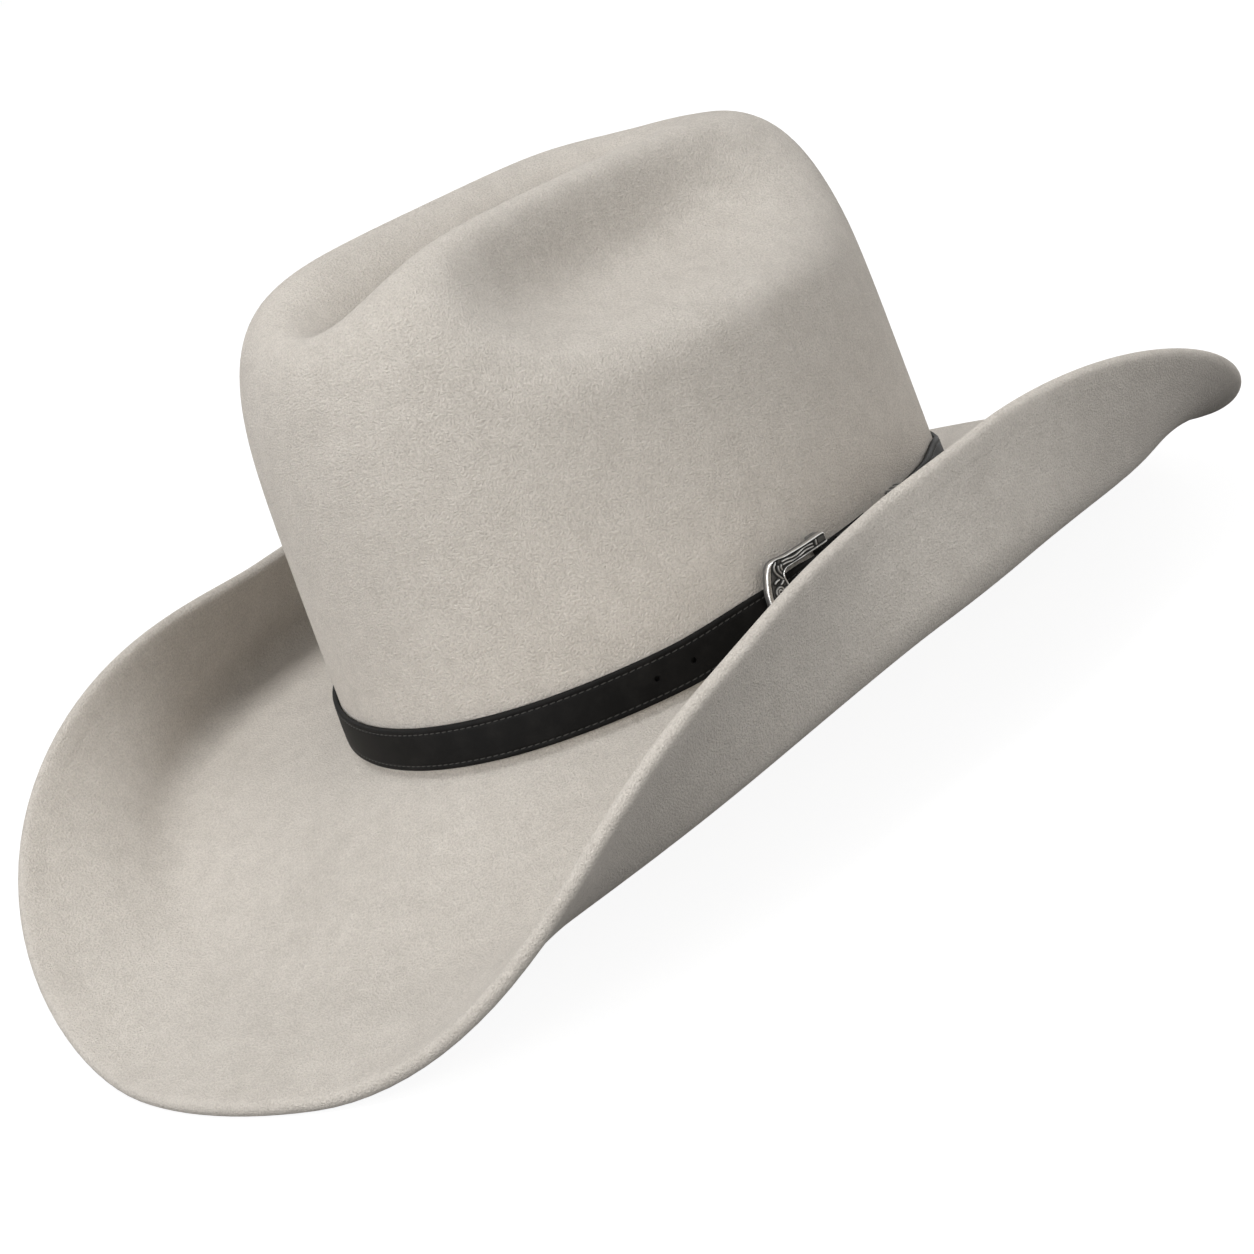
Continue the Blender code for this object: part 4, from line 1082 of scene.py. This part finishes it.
def frame_lines():
    """Lines of the frame's ornament, alike above and below the middle."""
    rail = RAIL_INNER + FRAME_RAIL / 2
    corner = np.array((0.70 * -FRAME_LENGTH, 0.80 * RAIL_OUTER))
    bar = np.array((-FRAME_LENGTH + 0.6 * FRAME_BAR, 0.30 * RAIL_OUTER))
    stem_along = np.linspace(-0.63, -0.16, 60) * FRAME_LENGTH
    lines = [
        bend(corner + MM * np.array([(-0.5, 2.0), (-1.4, 1.0), (-1.5, -0.4), (-0.7, -2.1),
                                     (0.3, -3.4)]), 40),
        bend(corner + MM * np.array([(-0.1, 0.7), (-0.3, -0.4), (0.2, -1.6)]), 20),
        bend(corner + MM * np.array([(0.9, 0.6), (0.6, 0.0), (0.7, -0.7)]), 16),
        np.column_stack([stem_along, rail + 0.45 * MM + 0.25 * MM * np.sin(stem_along / (1.3 * MM))]),
        np.column_stack([stem_along, rail - 0.45 * MM + 0.25 * MM * np.sin(stem_along / (1.3 * MM))]),
        bend(np.array([(-2.0 * MM, RAIL_OUTER), (-2.3 * MM, rail), (-2.6 * MM, RAIL_INNER)]), 20),
        bend(bar + MM * np.array([(-0.7, 2.6), (0.0, 2.9), (0.8, 3.0)]), 16),
        bend(bar + MM * np.array([(0.9, 1.6), (1.4, 1.8), (1.9, 2.2)]), 16),
        curl(bar, 1.5 * MM, -0.5 * math.pi, -3.4 * math.pi),
        curl(bar + MM * np.array((1.9, -0.8)), 0.9 * MM, 0.5 * math.pi, 3.0 * math.pi),
    ]
    upper = np.vstack(lines)
    return np.vstack([upper, upper * (1.0, -1.0)])


def heel_bar_axis():
    """Middle point and direction of the heel bar."""
    middle = strap_middle() + FRAME_SHIFT
    low, high = (wrap(0.0, HEEL_BAR_OUT, middle + side * RAIL_INNER) for side in (-1, 1))
    return (low + high) / 2, unit(high - low)


def round_bar(name, middle, aim, radius, length, sides=20):
    """A round bar with eased ends."""
    side = unit(np.cross(aim, (1.0, 0.3, 0.2)))
    other = np.cross(aim, side)
    turns = full_turn(sides)[:, None]
    circle = np.cos(turns) * side + np.sin(turns) * other
    ends = [(-0.5, 0.8), (-0.47, 1.0), (0.47, 1.0), (0.5, 0.8)]
    rows = [middle + aim * length * at + circle * radius * wide for at, wide in ends]
    return skin(name, rows, capped=True)


def buckle_frame():
    """The engraved frame and its heel bar."""
    edges = bend(frame_outline(), 400)
    heel = smooth(-2 * HEEL_LUG, -HEEL_LUG, edges[:, 0])
    under = FRAME_UNDER + (HEEL_BAR_OUT - HEEL_BAR_RADIUS - CLEARANCE - FRAME_UNDER) * heel
    at_bar = smooth(0.72 * FRAME_LENGTH, 0.92 * FRAME_LENGTH, -edges[:, 0])
    rim = RAIL_RIM + (BAR_RIM - RAIL_RIM) * at_bar
    frame_piece = strip_skin("frame_silver", edges, strap_middle() + FRAME_SHIFT, under, FRAME_TOP,
                             FRAME_BEVEL, 37, rim, frame_lines())
    centre, aim = heel_bar_axis()
    bar = round_bar("heel_bar", centre, aim, HEEL_BAR_RADIUS, 2 * RAIL_INNER + FRAME_RAIL)
    set_relief(bar, 0.7)
    cut(frame_piece, bar, "UNION")
    dress(frame_piece, "frame", "antique_silver", silver, "buckle_frame")


buckle_frame()

# %% [markdown]
# The prong
# A tapered tongue with an eye round the heel bar. It comes up through the strap's slot and lies on
# the frame's front bar.

# %% The prong
PRONG_THICKNESS = 1.5 * MM
PRONG_ARCH = 0.6 * MM
PRONG_POINT = 0.25 * MM


def prong_line():
    """Middle line of the shaft, along the band and out from the felt."""
    over_bar = FRAME_TOP + CLEARANCE + PRONG_THICKNESS / 2
    over_strap = BILLET_HIGH + STRAP + CLEARANCE + PRONG_THICKNESS / 2
    root = HEEL_BAR_RADIUS + CLEARANCE + PRONG_EYE / 2
    return np.array([
        (-0.75 * root, HEEL_BAR_OUT + 0.66 * root),
        (-2.0 * root, BILLET_HIGH + 0.2 * STRAP),
        (-3.6 * root, over_strap - PRONG_ARCH / 3),
        (-0.40 * FRAME_LENGTH, over_strap + PRONG_ARCH / 3),
        (-0.72 * FRAME_LENGTH, over_bar + PRONG_ARCH),
        (-FRAME_LENGTH + FRAME_BAR / 2, over_bar + PRONG_ARCH / 6),
        (-FRAME_LENGTH + 0.1 * FRAME_BAR, over_bar),
    ])


def prong():
    """Shaft and eye in one."""
    line = bend(prong_line(), 40)
    run = unit(np.gradient(line, axis=0))
    square = np.column_stack([-run[:, 1], run[:, 0]]) * PRONG_THICKNESS / 2
    share = np.linspace(0.0, 1.0, len(line))
    rounded = np.sqrt(1.0 - np.clip((share - 0.94) / 0.07, 0, 1) ** 2)
    wide = PRONG_WIDTH / 2 * (1.0 - 0.35 * share) * rounded
    turns = full_turn(16)
    c, s = squared(np.cos(turns), 0.6), squared(np.sin(turns), 0.6)
    rows = []
    for (along, out), (side, lift), half in zip(line, square, np.maximum(wide, PRONG_POINT)):
        rows.append(wrap(along + side * s, out + lift * s, strap_middle() + half * c))
    shaft = skin("shaft", rows, capped=True)
    set_relief(shaft, 0.85)
    inner = HEEL_BAR_RADIUS + CLEARANCE
    outer, half = inner + PRONG_EYE, PRONG_WIDTH / 2
    lower = [(inner, 0.1 * MM - half), (inner + 0.15 * MM, -half), (outer - 0.25 * MM, -half),
             (outer, 0.25 * MM - half)]
    ring_section = lower + [(r, -up) for r, up in reversed(lower)]
    ring_rows = []
    for turn in full_turn(32):
        along, out = math.cos(turn), math.sin(turn)
        ring_rows.append([wrap(r * along, HEEL_BAR_OUT + r * out, strap_middle() + up)
                          for r, up in ring_section])
    eye = skin("prong_silver", ring_rows, loop=True)
    set_relief(eye, 0.7)
    cut(eye, shaft, "UNION")
    dress(eye, "prong", "antique_silver", silver, "buckle_prong")


prong()

# %% [markdown]
# The keeper
# A flat loop holds the strap's free end down. Its section has three raised ridges, and is carried
# round the two layers of strap with small round corners.

# %% The keeper
KEEPER = 0.8 * MM
KEEPER_LENGTH = 6.0 * MM
KEEPER_PLACE = (CHAPE_LENGTH + BILLET_STEP + TIP_REACH - TIP_LENGTH) / 2


def keeper_path(count):
    """Inner line of the loop in the band's section, with rounded corners, and its outward side."""
    foot = strap_foot(KEEPER_PLACE)
    low, high = foot - CLEARANCE, foot + STRAP_WIDTH + CLEARANCE
    near, far = CLEARANCE + KEEPER, BILLET_LOW + STRAP + CLEARANCE
    corner = 0.5 * MM
    points, aims = [], []
    centres = [(far - corner, high - corner, 0), (near + corner, high - corner, 1),
               (near + corner, low + corner, 2), (far - corner, low + corner, 3)]
    for out, up, quarter in centres:
        for turn in np.linspace(0.0, math.pi / 2, count // 4):
            way = turn + quarter * math.pi / 2
            aim = np.array((math.cos(way), math.sin(way)))
            points.append(np.array((out, up)) + corner * aim)
            aims.append(aim)
    return np.array(points), np.array(aims)


def keeper():
    """The loop, with a ridge along both edges and one between."""
    points, aims = keeper_path(40)
    share = np.linspace(-1.0, 1.0, 15)
    raised = np.maximum(peak(np.abs(share), 0.78, 0.12), peak(share, 0.0, 0.16))
    shoulder = np.clip((1.0 - np.abs(share)) / 0.08, 0.0, 1.0)
    face = KEEPER * (0.45 + 0.2 * shoulder) + 0.35 * KEEPER * raised
    rows, relief = [], []
    for (out, up), aim in zip(points, aims):
        along = KEEPER_PLACE + share * KEEPER_LENGTH / 2
        top = wrap(along, out + aim[0] * face, up + aim[1] * face)
        low = wrap(along[::-1], out, up)
        rows.append(np.vstack([top, low]))
        relief.append(np.concatenate([0.25 + 0.7 * raised, np.full(len(share), 0.4)]))
    piece = skin("keeper_silver", rows, loop=True)
    set_relief(piece, np.concatenate(relief))
    dress(piece, "keeper", "antique_silver", silver, "strap_keeper")


keeper()

# %% [markdown]
# The tip
# A thin pointed plate caps the strap's free end. It is the frame's strip again, with the two edges
# of the strap's end for outlines, the same rim, and three curls.

# %% The tip
TIP_PLATE = 0.8 * MM
TIP_BEVEL = 0.4 * MM


def strap_tip():
    """Pointed plate on the strap's free end."""
    start = TIP_REACH - TIP_LENGTH
    along = np.linspace(start, TIP_REACH, 60)
    half = tip_half(along)
    edges = np.column_stack([along, half, along, -half])
    under = np.full(len(along), BILLET_LOW + STRAP + 0.5 * CLEARANCE)
    top = BILLET_LOW + STRAP + CLEARANCE + TIP_PLATE + 0.3 * MM
    rim = np.full(len(along), RAIL_RIM)
    first, second = start + 0.3 * TIP_LENGTH, start + 0.62 * TIP_LENGTH
    lines = np.vstack([curl((first, 2.2 * MM), 1.6 * MM, 0.0, 3.4 * math.pi),
                       curl((first, -2.2 * MM), 1.6 * MM, 0.0, -3.4 * math.pi),
                       curl((second, 0.0), 1.5 * MM, math.pi, 3.4 * math.pi)])
    piece = strip_skin("tip_silver", edges, strap_middle(TIP_REACH), under, top,
                       TIP_BEVEL, 41, rim, lines)
    dress(piece, "hat", "antique_silver", silver, "strap_tip")


strap_tip()

# %% [markdown]
# Inside the crown
# The sweatband is a strip of soft sheepskin leather. Its foot is sewn to a cloth covered reed and
# a woven tape, which hold it to the felt. Above it a satin lining hides the felt: a side strip and
# an oval tip. All of them follow the crown's inner face at a depth.

# %% Following the crown's inner face
LINING = 0.5 * MM
LINING_DEPTH = FELT + 1.1 * MM
SWEATBAND = 1.3 * MM
SWEATBAND_HEIGHT = 54.0 * MM
SWEATBAND_DEPTH = LINING_DEPTH + LINING + CLEARANCE
REED_RADIUS = 1.4 * MM
SWEATBAND_FOOT = REED_RADIUS + CLEARANCE
inside_angles = even_angles(240, 0.0)


def inside(angle, height, depth):
    """Point at a height above the brim break and a depth in from the crown's outer face."""
    values = (np.asarray(value, float) for value in (angle, height, depth))
    angle, height, depth = np.broadcast_arrays(*values)
    rise = rise_at_height(angle, height)
    return crown_surface(angle, rise) - depth[..., None] * crown_normal(angle, rise)


print("lining starts %.1f mm in from the felt's face" % (1000 * LINING_DEPTH))

# %% [markdown]
# The sweatband
# Sheepskin is soft and tan, and darkens in patches with wear. The strip is a closed section carried
# round the head oval, so its edges are round and the pressed line near its top is real.

# %% The sweatband and its leather
TAN_DARK = (0.235, 0.125, 0.062)
TAN_LIGHT = (0.34, 0.195, 0.105)
TAN_PORES = (0.17, 0.088, 0.042)
TAN_GRAIN = 0.9 * MM


def sweat_leather_finish():
    """Soft tan leather, a little darker and shinier in patches."""
    leather = Finish("tan sheepskin leather", Specular_IOR_Level=0.35)
    cells = leather.cells(TAN_GRAIN, 0.5)
    wear = leather.noise(14.0 * MM, 4.0, 0.6)
    pores = leather.noise(0.5 * MM, 2.0, 0.5)
    colour = leather.mix(leather.ramp(wear, (0.35, 0.0), (0.7, 1.0)), TAN_DARK, TAN_LIGHT)
    colour = leather.mix(leather.ramp(cells, (0.0, 0.35), (0.5, 0.0)), colour, TAN_PORES)
    normal = leather.bump(cells + pores, 0.12 * MM, 0.4)
    return leather.paint(Base_Color=colour, Roughness=0.5 + 0.2 * wear, Normal=normal)


sweat_leather = sweat_leather_finish()


def sweatband():
    """The leather strip, with rounded edges and a pressed line near its top."""
    rise = np.linspace(0.0, 1.0, 34)
    line = 0.25 * MM * peak(rise, 0.93, 0.012)
    heights = SWEATBAND_FOOT + rise * SWEATBAND_HEIGHT
    past = np.clip(np.abs(rise - 0.5) * 2 - 0.975, 0, 1) / 0.025
    thick = SWEATBAND * np.sqrt(np.clip(1.0 - past ** 2, 0.04, 1))
    rows = []
    for angle in inside_angles:
        back = inside(angle, heights, SWEATBAND_DEPTH + (SWEATBAND - thick) / 2)
        face = inside(angle, heights[::-1], (SWEATBAND_DEPTH + (SWEATBAND + thick) / 2 - line)[::-1])
        rows.append(np.vstack([back, face]))
    piece = skin("sweatband_leather", rows, loop=True)
    dress(piece, "hat", "sweatband_leather", sweat_leather, "sweatband")


sweatband()

# %% [markdown]
# Stitching inside
# One row of cream stitches holds the sweatband's foot to the reed, and two short rows close its
# rear seam above the bow.

# %% Sweatband stitching
def sweatband_stitching():
    """Stitches that hold the sweatband's foot to the reed, and those of its rear seam."""
    finish = thread_finish("cream thread", (0.62, 0.55, 0.42), (0.40, 0.34, 0.25))
    face_depth = SWEATBAND_DEPTH + SWEATBAND
    foot = SWEATBAND_FOOT + 3.0 * MM
    line = inside(inside_angles, foot, face_depth)
    aim = inside(inside_angles, foot, face_depth + MM) - line
    piece = threads("sweatband_stitching", line, aim, 2.6 * MM, 1.9 * MM, 0.22 * MM)
    dress(piece, "hat", "sweatband_leather", finish)
    heights = np.linspace(SWEATBAND_FOOT + 27 * MM, SWEATBAND_FOOT + 51 * MM, 60)
    for name, shift in (("left", 0.02), ("right", -0.02)):
        angle = math.pi / 2 + shift
        line = inside(angle, heights, face_depth)
        aim = inside(angle, heights, face_depth + MM) - line
        piece = threads("rear_seam_" + name, line, aim, 2.4 * MM, 1.7 * MM, 0.2 * MM, closed=False)
        dress(piece, "hat", "sweatband_leather", finish)


sweatband_stitching()

# %% [markdown]
# Reed and tape
# Both are covered in a plain weave. Weave is two sets of threads, so its bump is two fine waves at
# right angles, one along the height and one round the oval.

# %% Woven finishes
def woven_finish(name, light, dark, pitch, rough=0.85, sheen=0.2):
    """Plain weave of a light and a dark thread."""
    weave = Finish(name, Sheen_Weight=sheen, Sheen_Roughness=0.4)
    parts = weave.add("ShaderNodeSeparateXYZ", {}, {0: weave.place}, out="X")
    place = parts.socket.node.outputs
    turn = 2.0 * math.pi / pitch
    round_it = Wire(weave, place["X"]) * turn
    across = Wire(weave, place["Y"]) * turn
    upwards = Wire(weave, place["Z"]) * turn
    ribs = round_it.maths("SINE", round_it + across) * upwards.maths("SINE", upwards)
    fuzz = weave.noise(pitch * 0.7, 2.0, 0.6)
    tint = weave.ramp(0.5 + 0.3 * ribs + 0.4 * (fuzz - 0.5), (0.2, 0.0), (0.8, 1.0))
    normal = weave.bump(ribs + fuzz, 0.12 * MM, 0.5)
    return weave.paint(Base_Color=weave.mix(tint, dark, light), Roughness=rough - 0.1 * fuzz,
                       Normal=normal)


tape_cloth = woven_finish("woven tape", (0.60, 0.55, 0.46), (0.42, 0.38, 0.31), 0.7 * MM)


# %% Reed and tape
TAPE = 0.5 * MM
TAPE_HEIGHT = 14.0 * MM


def reed():
    """Cloth covered reed at the sweatband's foot, with the fine ridges of its winding."""
    turns = full_turn(12)[:, None]
    rows = []
    for k, angle in enumerate(even_angles(480, 0.0)):
        radius = REED_RADIUS * (0.98 if k % 2 else 0.93)
        centre = np.append(oval(angle, -(FELT + CLEARANCE + REED_RADIUS)), break_height(angle))
        outward = np.append(oval_normal(angle), 0.0)
        rows.append(centre + radius * (np.cos(turns) * outward + np.sin(turns) * (0.0, 0.0, 1.0)))
    piece = skin("reed_cover", rows, loop=True)
    dress(piece, "hat", "reed_cloth", tape_cloth, "sweatband_reed")


def tape():
    """Thin woven tape between the felt and the sweatband's foot."""
    heights = SWEATBAND_FOOT + np.linspace(0.0, TAPE_HEIGHT, 8)
    rows = []
    for angle in inside_angles:
        back = inside(angle, heights, FELT + CLEARANCE)
        rows.append(np.vstack([back, inside(angle, heights[::-1], FELT + CLEARANCE + TAPE)]))
    piece = skin("reed_ribbon", rows, loop=True)
    dress(piece, "hat", "reed_cloth", tape_cloth, "reed_tape")


reed()
tape()

# %% [markdown]
# Satin lining
# Satin is smooth and glossy along its long threads. The strip is eased into the smaller top, so it
# puckers near the seam; those soft gathers are real waves in the mesh. The tip is an oval that
# hangs clear of the creases.

# %% Satin
def satin_finish():
    """Cream satin with fine long threads."""
    satin = Finish("cream satin", Sheen_Weight=0.35, Sheen_Roughness=0.3, Specular_IOR_Level=0.6)
    fibres = satin.noise(0.5 * MM, 2.0, 0.6, satin.stretched((1.0, 1.0, 0.08)))
    cloud = satin.noise(30.0 * MM, 2.0, 0.5)
    colour = satin.mix(0.6 * fibres + 0.4 * cloud, (0.52, 0.45, 0.34), (0.70, 0.63, 0.51))
    normal = satin.bump(fibres, 0.06 * MM, 0.4)
    return satin.paint(Base_Color=colour, Roughness=0.30 + 0.16 * fibres, Normal=normal)


satin = satin_finish()
LINING_FOOT = 20.0 * MM
LINING_SEAM = 74.0 * MM
LINING_DOME = 12.0 * MM
GATHERS = 46
GATHER_DEPTH = 0.8 * MM
SATIN = 0.35 * MM
lining_angles = even_angles(460, 0.0)
gather_wave = 0.5 + 0.5 * np.sin(GATHERS * lining_angles + 1.3 * np.sin(7 * lining_angles))


def thicken(piece, thickness):
    """Give a sheet its cloth's thickness, half to each side."""
    solidify = piece.modifiers.new("cloth", "SOLIDIFY")
    solidify.thickness = thickness
    solidify.offset = 0.0


def lining_side():
    """The strip, with gathers that deepen towards its seam."""
    rows = []
    for share in np.linspace(0.0, 1.0, 36):
        depth = LINING_DEPTH + GATHER_DEPTH * gather_wave * float(smooth(0.35, 1.0, share))
        rows.append(inside(lining_angles, LINING_FOOT + (LINING_SEAM - LINING_FOOT) * share, depth))
    piece = skin("lining_strip", rows)
    thicken(piece, SATIN)
    dress(piece, "hat", "satin", satin, "lining_side")


def lining_tip():
    """The oval, which hangs as a low dome below the creases, with small gathers at its rim."""
    rim = inside(lining_angles, LINING_SEAM + 0.6 * MM, LINING_DEPTH)
    middle = rim.mean(axis=0)
    rows = []
    for share in np.concatenate([np.linspace(1.0, 0.8, 16), np.linspace(0.77, 0.05, 24)]):
        row = middle + (rim - middle) * share
        row[:, 2] = rim[:, 2] * share + middle[2] * (1.0 - share) + LINING_DOME * (1.0 - share ** 2)
        row[:, 2] -= 0.6 * GATHER_DEPTH * gather_wave * smooth(0.8, 0.97, share)
        rows.append(row)
    piece = skin("lining_top", rows, last=middle + (0.0, 0.0, LINING_DOME))
    thicken(piece, SATIN)
    dress(piece, "hat", "satin", satin, "lining_tip")


lining_side()
lining_tip()

# %% [markdown]
# The bow
# A small bow of ribbed ribbon covers the sweatband's rear seam. Each loop is one ribbon that goes
# out, turns and comes back; it is pinched at the waist, where a short band crosses it.

# %% Ribbon and bow
BOW_LENGTH = 34.0 * MM
BOW_HEIGHT = 13.0 * MM
BOW_WAIST = 5.0 * MM
BOW_PUFF = 2.4 * MM
BOW_LIFT = 10.0 * MM
KNOT_LENGTH = 6.0 * MM
RIBBON = 0.3 * MM
RIBBON_RIBS = 0.55 * MM
KNOT_HALF = 0.8 * MM
ribbon_cloth = woven_finish("ribbed ribbon", (0.125, 0.105, 0.09), (0.055, 0.046, 0.04), RIBBON_RIBS,
                            rough=0.7, sheen=0.3)
bow_at = float(np.interp(math.pi / 2, table_angles, table_lengths))
bow_middle = SWEATBAND_FOOT + BOW_LIFT + BOW_HEIGHT / 2
bow_back = -(SWEATBAND_DEPTH + SWEATBAND + 2 * CLEARANCE)


def bow_loop():
    """Rows across the ribbon, once round both loops."""
    turns = np.linspace(0.0, 2.0 * math.pi, 120, endpoint=False)
    along = squared(np.cos(turns), 0.55) * (BOW_LENGTH / 2 - 0.4 * MM)
    reach = np.abs(along) / (BOW_LENGTH / 2)
    wide = smooth(0.15, 0.75, reach)
    half = (BOW_WAIST + (BOW_HEIGHT - BOW_WAIST) * wide) / 2
    puff = (0.45 + 0.55 * np.sin(math.pi * np.clip(reach, 0, 1)) ** 0.8) * BOW_PUFF
    lift = np.where(np.sin(turns) >= 0, 1.0, 0.12) * np.abs(np.sin(turns)) ** 0.5
    share = np.linspace(-1.0, 1.0, 13)
    pleat = 0.35 * MM * np.cos(3.0 * math.pi * share)[None] * (1.0 - wide)[:, None]
    out = bow_back - (puff * lift)[:, None] + np.minimum(pleat, 0.0) * 0.5
    return wrap(bow_at + along[:, None], out, bow_middle + half[:, None] * share[None])


def bow():
    """The bow and the band across its waist."""
    loops = skin("bow_ribbon", bow_loop(), ring=False, loop=True)
    thicken(loops, RIBBON)
    turns = full_turn(28)
    c, s = squared(np.cos(turns), 0.5), squared(np.sin(turns), 0.5)
    rows = []
    front = bow_back - BOW_PUFF / 2 - CLEARANCE - KNOT_HALF
    for share in np.linspace(-1.0, 1.0, 17):
        round_end = math.sqrt(max(1.0 - share ** 8, 0.02))
        fold = 1.0 + 0.08 * math.cos(4 * math.pi * share)
        rows.append(wrap(bow_at + share * KNOT_LENGTH / 2, front - KNOT_HALF * fold * round_end * s,
                         bow_middle + BOW_WAIST / 2 * round_end * c))
    knot = skin("bow_knot", rows, capped=True)
    dress(loops, "hat", "ribbon", ribbon_cloth, "rear_bow")
    dress(knot, "hat", "ribbon", ribbon_cloth, "rear_bow_knot")


bow()

# %% [markdown]
# Floor and light
# The hat stands on a pale floor in soft studio light: two broad lamps in front, weaker ones at the
# left, the rear and the right, and an even glow all round. The floor and the world are white to
# the camera, while the floor keeps a faint shadow.

# %% Floor and light
scene = bpy.context.scene
scene.view_settings.view_transform = "Standard"
FLOOR_SIZE = 8.0
GLOW = 0.30
WHITE = (1.0, 1.0, 1.0, 1.0)
FLOOR_LIT = (0.20, 0.20, 0.20, 1.0)
FLOOR_SEEN = (0.16, 0.16, 0.16, 1.0)
FLOOR_GLOW = 0.91
FLOOR_ROUGH = 0.9
FLOOR_GAP = 0.3 * MM
LAMP_SIZE = 1.0
LAMP_AIM = Vector((0.0, 0.0, 0.04))
LAMPS = {
    "high front": ((0.0, -0.65, 1.78), 19.4),
    "low front": ((0.0, -1.78, 0.65), 15.0),
    "left": ((1.78, 0.0, 0.65), 11.6),
    "rear": ((0.0, 1.78, 0.65), 7.6),
    "right": ((-1.78, 0.0, 0.65), 2.5),
}


def seen_directly(nodes):
    """1 for rays from the camera, mirrors and glass, 0 for the rays that carry light."""
    camera = nodes.add("ShaderNodeLightPath", out="Is Camera Ray")
    path = camera.socket.node.outputs
    mirror, glass = (Wire(nodes, path[ray]) for ray in ("Is Glossy Ray", "Is Transmission Ray"))
    return glass.maths("MAXIMUM", camera.maths("MAXIMUM", camera, mirror), glass)


def studio_world():
    """White to the camera, an even glow to the hat."""
    world = bpy.data.worlds.new("studio")
    world.use_nodes = True
    studio = Nodes(world.node_tree)
    studio.tree.nodes.remove(studio.tree.nodes["Background"])
    glow, white = (studio.add("ShaderNodeBackground", {}, {"Color": WHITE, "Strength": strength})
                   for strength in (GLOW, 1.0))
    mix = studio.add("ShaderNodeMixShader", {}, {0: seen_directly(studio), 1: glow, 2: white})
    studio.show(mix, "World Output")
    scene.world = world


def floor():
    """A pale floor under the hat's lowest edge."""
    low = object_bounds()[0][2] - FLOOR_GAP
    half = FLOOR_SIZE / 2
    corners = [(-half, -half, low), (half, -half, low), (half, half, low), (-half, half, low)]
    mesh = bpy.data.meshes.new("floor")
    mesh.from_pydata(corners, [], [(0, 1, 2, 3)])
    piece = bpy.data.objects.new("floor", mesh)
    scene.collection.objects.link(piece)
    piece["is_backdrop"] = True
    pale = Finish("pale floor", Base_Color=FLOOR_LIT, Roughness=FLOOR_ROUGH)
    bright = pale.add("ShaderNodeBsdfPrincipled", {}, {
        "Base Color": FLOOR_SEEN, "Roughness": FLOOR_ROUGH,
        "Emission Color": WHITE, "Emission Strength": FLOOR_GLOW})
    lit = Wire(pale, pale.shader.outputs[0])
    mix = pale.add("ShaderNodeMixShader", {}, {0: seen_directly(pale), 1: lit, 2: bright})
    pale.show(mix, "Material Output")
    mesh.materials.append(pale.material)
    print("floor at %.1f mm" % (1000 * low))


def lamp(name, place, power):
    """A square soft lamp that faces the hat."""
    light = bpy.data.lights.new(name, "AREA")
    light.size = LAMP_SIZE
    light.energy = power
    holder = bpy.data.objects.new(name, light)
    holder.location = place
    holder.rotation_euler = (LAMP_AIM - Vector(place)).to_track_quat("-Z", "Y").to_euler()
    scene.collection.objects.link(holder)


studio_world()
floor()
for name, (place, power) in LAMPS.items():
    lamp(name, place, power)

# %% [markdown]
# The camera
# The camera stands where the photograph was taken from, leaning over sideways as it did. Its focal
# length is known in the photograph's pixels, and the sensor's width turns it into millimetres.

# %% Camera
FRAME_PIXELS = 1254
SENSOR = 36.0
FOCAL_PIXELS = 3292.0
EYE_DISTANCE = 972.8 * MM
AZIMUTH = math.radians(45.13)
ELEVATION = math.radians(16.80)
ROLL = math.radians(-21.16)
AIM_RIGHT = -10.03 * MM
AIM_HEIGHT = -4.95 * MM


def set_camera():
    """A camera at the photograph's place, leaning by its roll."""
    level = math.cos(ELEVATION)
    back = Vector((math.sin(AZIMUTH) * level, -math.cos(AZIMUTH) * level, math.sin(ELEVATION)))
    right = Vector((math.cos(AZIMUTH), math.sin(AZIMUTH), 0.0))
    up = back.cross(right)
    across = right * math.cos(ROLL) + up * math.sin(ROLL)
    upright = up * math.cos(ROLL) - right * math.sin(ROLL)
    eye = right * AIM_RIGHT + Vector((0.0, 0.0, AIM_HEIGHT)) + back * EYE_DISTANCE
    turn = Matrix((across, upright, back)).transposed().to_4x4()
    data = bpy.data.cameras.new("camera")
    data.sensor_width = SENSOR
    data.lens = FOCAL_PIXELS / FRAME_PIXELS * SENSOR
    data.clip_start = 0.05
    camera = bpy.data.objects.new("camera", data)
    camera.matrix_world = Matrix.Translation(eye) @ turn
    scene.collection.objects.link(camera)
    scene.camera = camera
    print("camera: %.0f mm lens" % data.lens)


set_camera()
